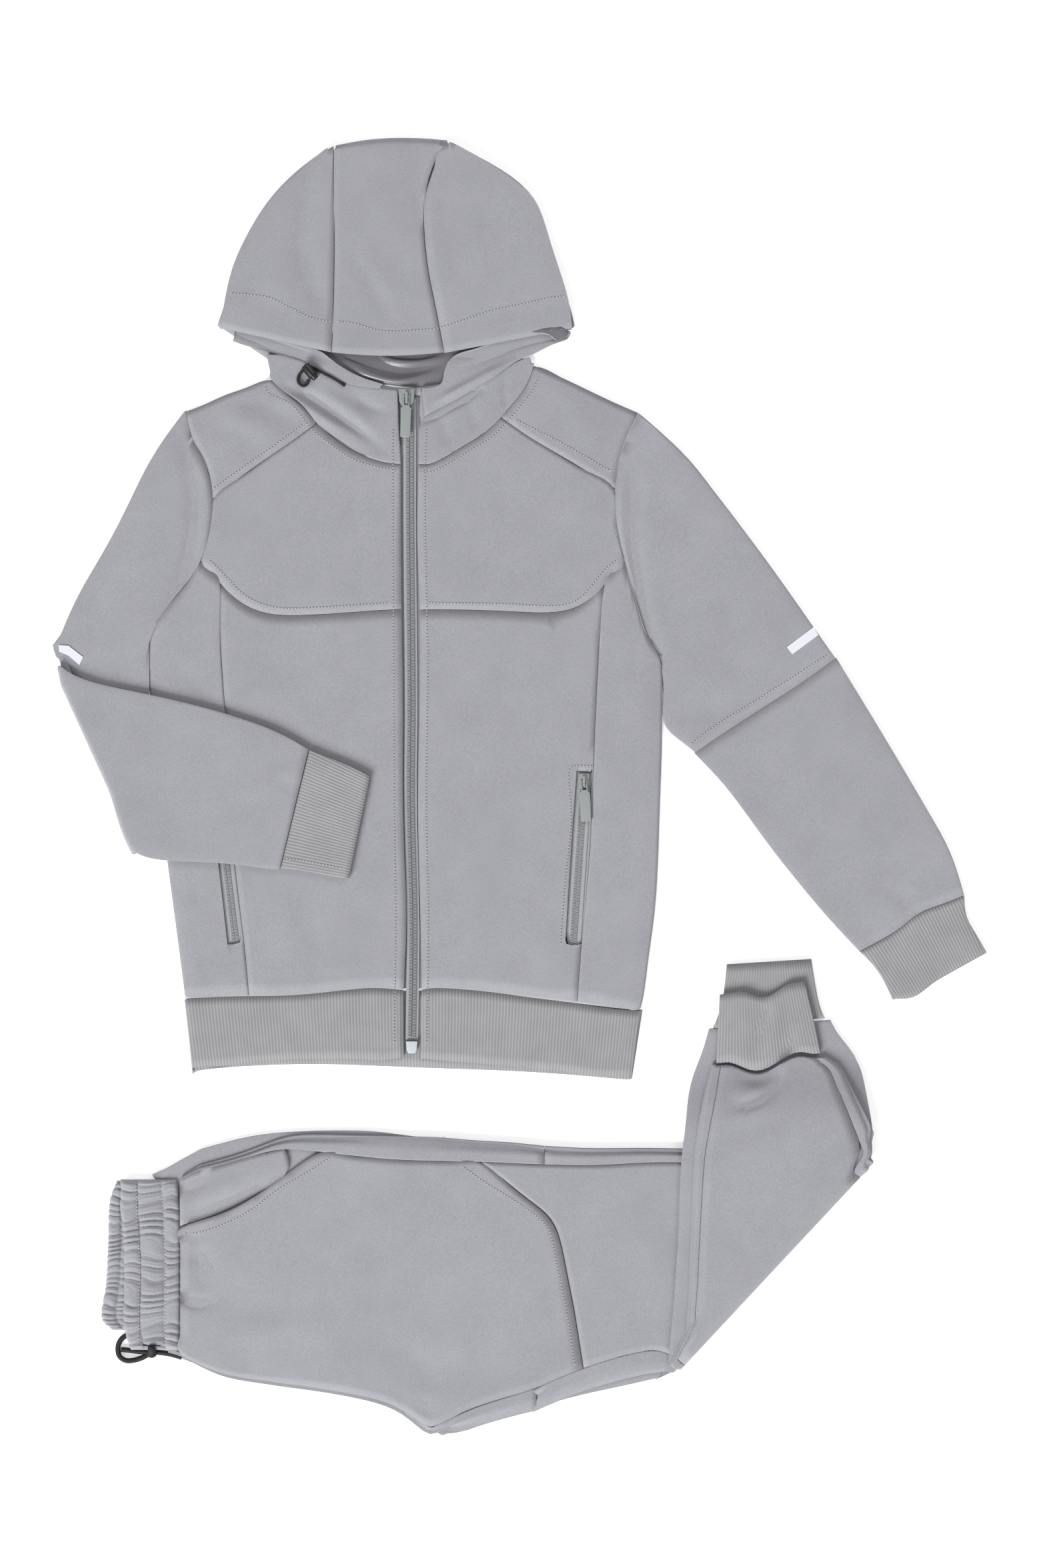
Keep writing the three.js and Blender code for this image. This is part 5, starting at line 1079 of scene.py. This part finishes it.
def make_cords():
    lock = bevelled("cord_lock", width=0.3)
    cord("hood_elastic", HOOD_ROUTE, HOOD_CORD, [lock.name], "hood_cord", "hood_cord_loop")
    cord("waist_drawcord", WAIST_ROUTE, WAIST_CORD, ["drawcord_knot"], "waist_cord")
    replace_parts(tube("drawcord_knot", KNOT_ROUTE, KNOT_RADII, "black_cord"), "waist_cord_knot")
    surface = surface_of([SKIN["waistband_near"]])
    opening = at(smooth_line(SLIT, 1.0), np.arange(SLIT_LENGTH + 1))
    tube("drawcord_slit", [(*place, surface(place) - 0.1) for place in opening], SLIT_RADII, "black_cord")
    cord("waist_drawcord_bow", BOW_ROUTE, WAIST_CORD, [], "waist_cord_bow")


# Small pieces at the neck
NECK_TAPE = photo(
    (514, 560), (530, 567), (549, 576), (583, 586), (615, 588), (640, 586), (668, 580), (690, 570),
)
TAPE_HALF = 3.2
TAPE_PROFILE = [(0, 1.5), (0.04, 2.5), (0.3, 3.0), (0.7, 3.0), (0.96, 2.5), (1, 1.5)]  # share across, z


def neck_tape():
    """The tape inside the collar, under the hood's lining."""
    line = smooth_line(NECK_TAPE, 2.0)
    points = []
    for a, b in zip(off(line, -TAPE_HALF), off(line, TAPE_HALF)):
        for share, z in TAPE_PROFILE:
            points.append((*(a + (b - a) * share), z))
    faces = ring_faces(len(line), len(TAPE_PROFILE))
    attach(mesh_object("neck_tape", points, faces, "zip_tape"), BODY)


HOLLOW = photo(
    (797, 500), (812, 495.5), (828, 493), (842, 493), (849, 496), (852, 501), (849, 507),
    (842, 511.5), (835, 513), (827, 508), (812, 502.5),
)
HOLLOW_RINGS = [(1, -1.5), (0.98, 0.05), (0.9, 0.15), (0.7, 0.2), (0.4, 0.2), (0.1, 0.2)]  # share, lift
HOLLOW_FOLD = 0.8
HOLLOW_WAVE = 2.6


def hood_corner():
    """A patch of the dark lining laid just above the lip, for the lining that shows in the hollow at the
    hood's corner; its darkness is partly painted shade of the hollow.
    """
    loop = smooth_line(HOLLOW + HOLLOW[:1], 1.0)[:-1]
    middle = loop.mean(axis=0)
    surface = surface_of([SKIN["hood_lip_right"], SKIN["hood_side_right"]])
    heights = [surface(place) for place in loop]
    base = max(z for z in heights if z is not None)
    points = []
    for share, lift in HOLLOW_RINGS:
        for place in middle + share * (loop - middle):
            fold = HOLLOW_FOLD * (1 - share ** 4) * (1 + drift(place, HOLLOW_WAVE, 0.9))
            points.append((*place, base + lift + fold))
    faces = ring_faces(len(HOLLOW_RINGS), len(loop))
    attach(mesh_object("hood_corner_lining_and_shade", points, faces, "lining"), BODY)


# Cloth made from the solids
CLOTH = [
    # nodes, finer levels, pinch, swell, held, rests on, times round
    (["jacket_back"], 2, 0, 0.0, "laid", "floor", 1),
    (["yoke_left", "yoke_right", "chest_left", "chest_right"], 2, 0.8, 0.3, "laid", "jacket_back", 1),
    (["front_left", "front_right"], 2, 0.8, 0.35, "laid", "jacket_back", 1),
    (["side_left", "side_right"], 2, 0.8, 0.3, "laid", "jacket_back", 1),
    (["sleeve_right_upper", "sleeve_right_lower", "sleeve_left_upper"], 2, 0.8, 0.4, "laid", "floor", 2),
    (["sleeve_left_lower"], 2, 0.8, 0.4, "folded", "sleeve_left_upper", 2),
    (["hood_side_left", "hood_side_right", "hood_centre"], 2, 0.5, 0.4, "laid", "floor", 2),
    (["hood_lining"], 3, 0.3, 0.1, "laid", "hood_centre", 1),
    (["collar_left", "collar_right"], 3, 0.7, 0.2, "folded", "jacket_back", 1),
    (["hood_lip_left"], 3, 0.4, 0.15, "folded", "collar_left", 1),
    (["hood_lip_right"], 3, 0.4, 0.15, "folded", "collar_right", 1),
    (["leg_far_thigh"], 2, 0.3, 0.0, "folded", "floor", 2),
    (["back_near_thigh", "back_near_knee"], 2, 0.5, 0.0, "folded", "leg_far_thigh", 2),
    (["front_near"], 2, 0.8, 0.45, "folded", "back_near_thigh", 1),
    (["pocket_facing_near"], 3, 0.5, 0.15, "folded", "back_near_thigh", 1),
    (["knee_near"], 2, 0.8, 0.35, "folded", "back_near_knee", 1),
    (["shin_near"], 2, 0.5, 0.2, "folded", "knee_near", 2),
    (["shin_far_back"], 2, 0.6, 0.2, "folded", "shin_near", 2),
    (["shin_far_front"], 2, 0.8, 0.35, "folded", "shin_near", 1),
    (["hem_rib"], 2, 0.6, 0.2, "laid", "floor", 1),
    (["cuff_right"], 2, 0.6, 0.2, "laid", "floor", 2),
    (["cuff_left"], 2, 0.6, 0.2, "folded", "jacket_back", 2),
    (["cuff_near"], 2, 0.4, 0.1, "folded", "floor", 2),
    (["cuff_far"], 2, 0.6, 0.2, "folded", "cuff_near", 2),
]
PHASE_STEP = 1.7  # sets the swells of each piece apart from its neighbours'


def make_cloth():
    rows = [(node, *row) for nodes, *row in CLOTH for node in nodes]
    for i, (node, levels, pinch, swell, held, under, around) in enumerate(rows):
        SKIN[node] = fine_skin(node, levels)
        settle(SKIN[node], node, pinch, swell, PHASE_STEP * i)
        SHEETS[node] = (held, under, around)
    for node, strip in RIBS.items():
        map_ribs(SKIN[node], *strip)


def plain_nodes():
    """Nodes whose solids keep their shape and only get a finish."""
    for node, piece in NODES.items():
        if not piece.hide_render:
            piece.data.materials.clear()
            piece.data.materials.append(MATERIALS[slot_of(node)])


FLOOR_HALF = 3000


def make_floor():
    x = FLOOR_HALF
    corners = [(-x, -x, 0), (x, -x, 0), (x, x, 0), (-x, x, 0)]
    floor = mesh_object("floor", corners, [(0, 1, 2, 3)], "reflective_film", smooth=False, finish="floor")


def declare_sheets():
    for node, (held, under, around) in SHEETS.items():
        state_cut(SKIN[node])


OUTLINES = {}  # node: loops of its outline in plan
SKIN = {}  # node: the fine piece that stands for it
SHEETS = {}  # node: how it is held, what it rests on, times round
MATERIALS = make_materials()
make_camera()
make_lights()
make_cloth()
sew(STITCHES, "topstitching", "needle_hole_shades", "scuba_cloth")
make_waistbands()
make_zips()
make_cords()
neck_tape()
hood_corner()
plain_nodes()
make_floor()
declare_sheets()
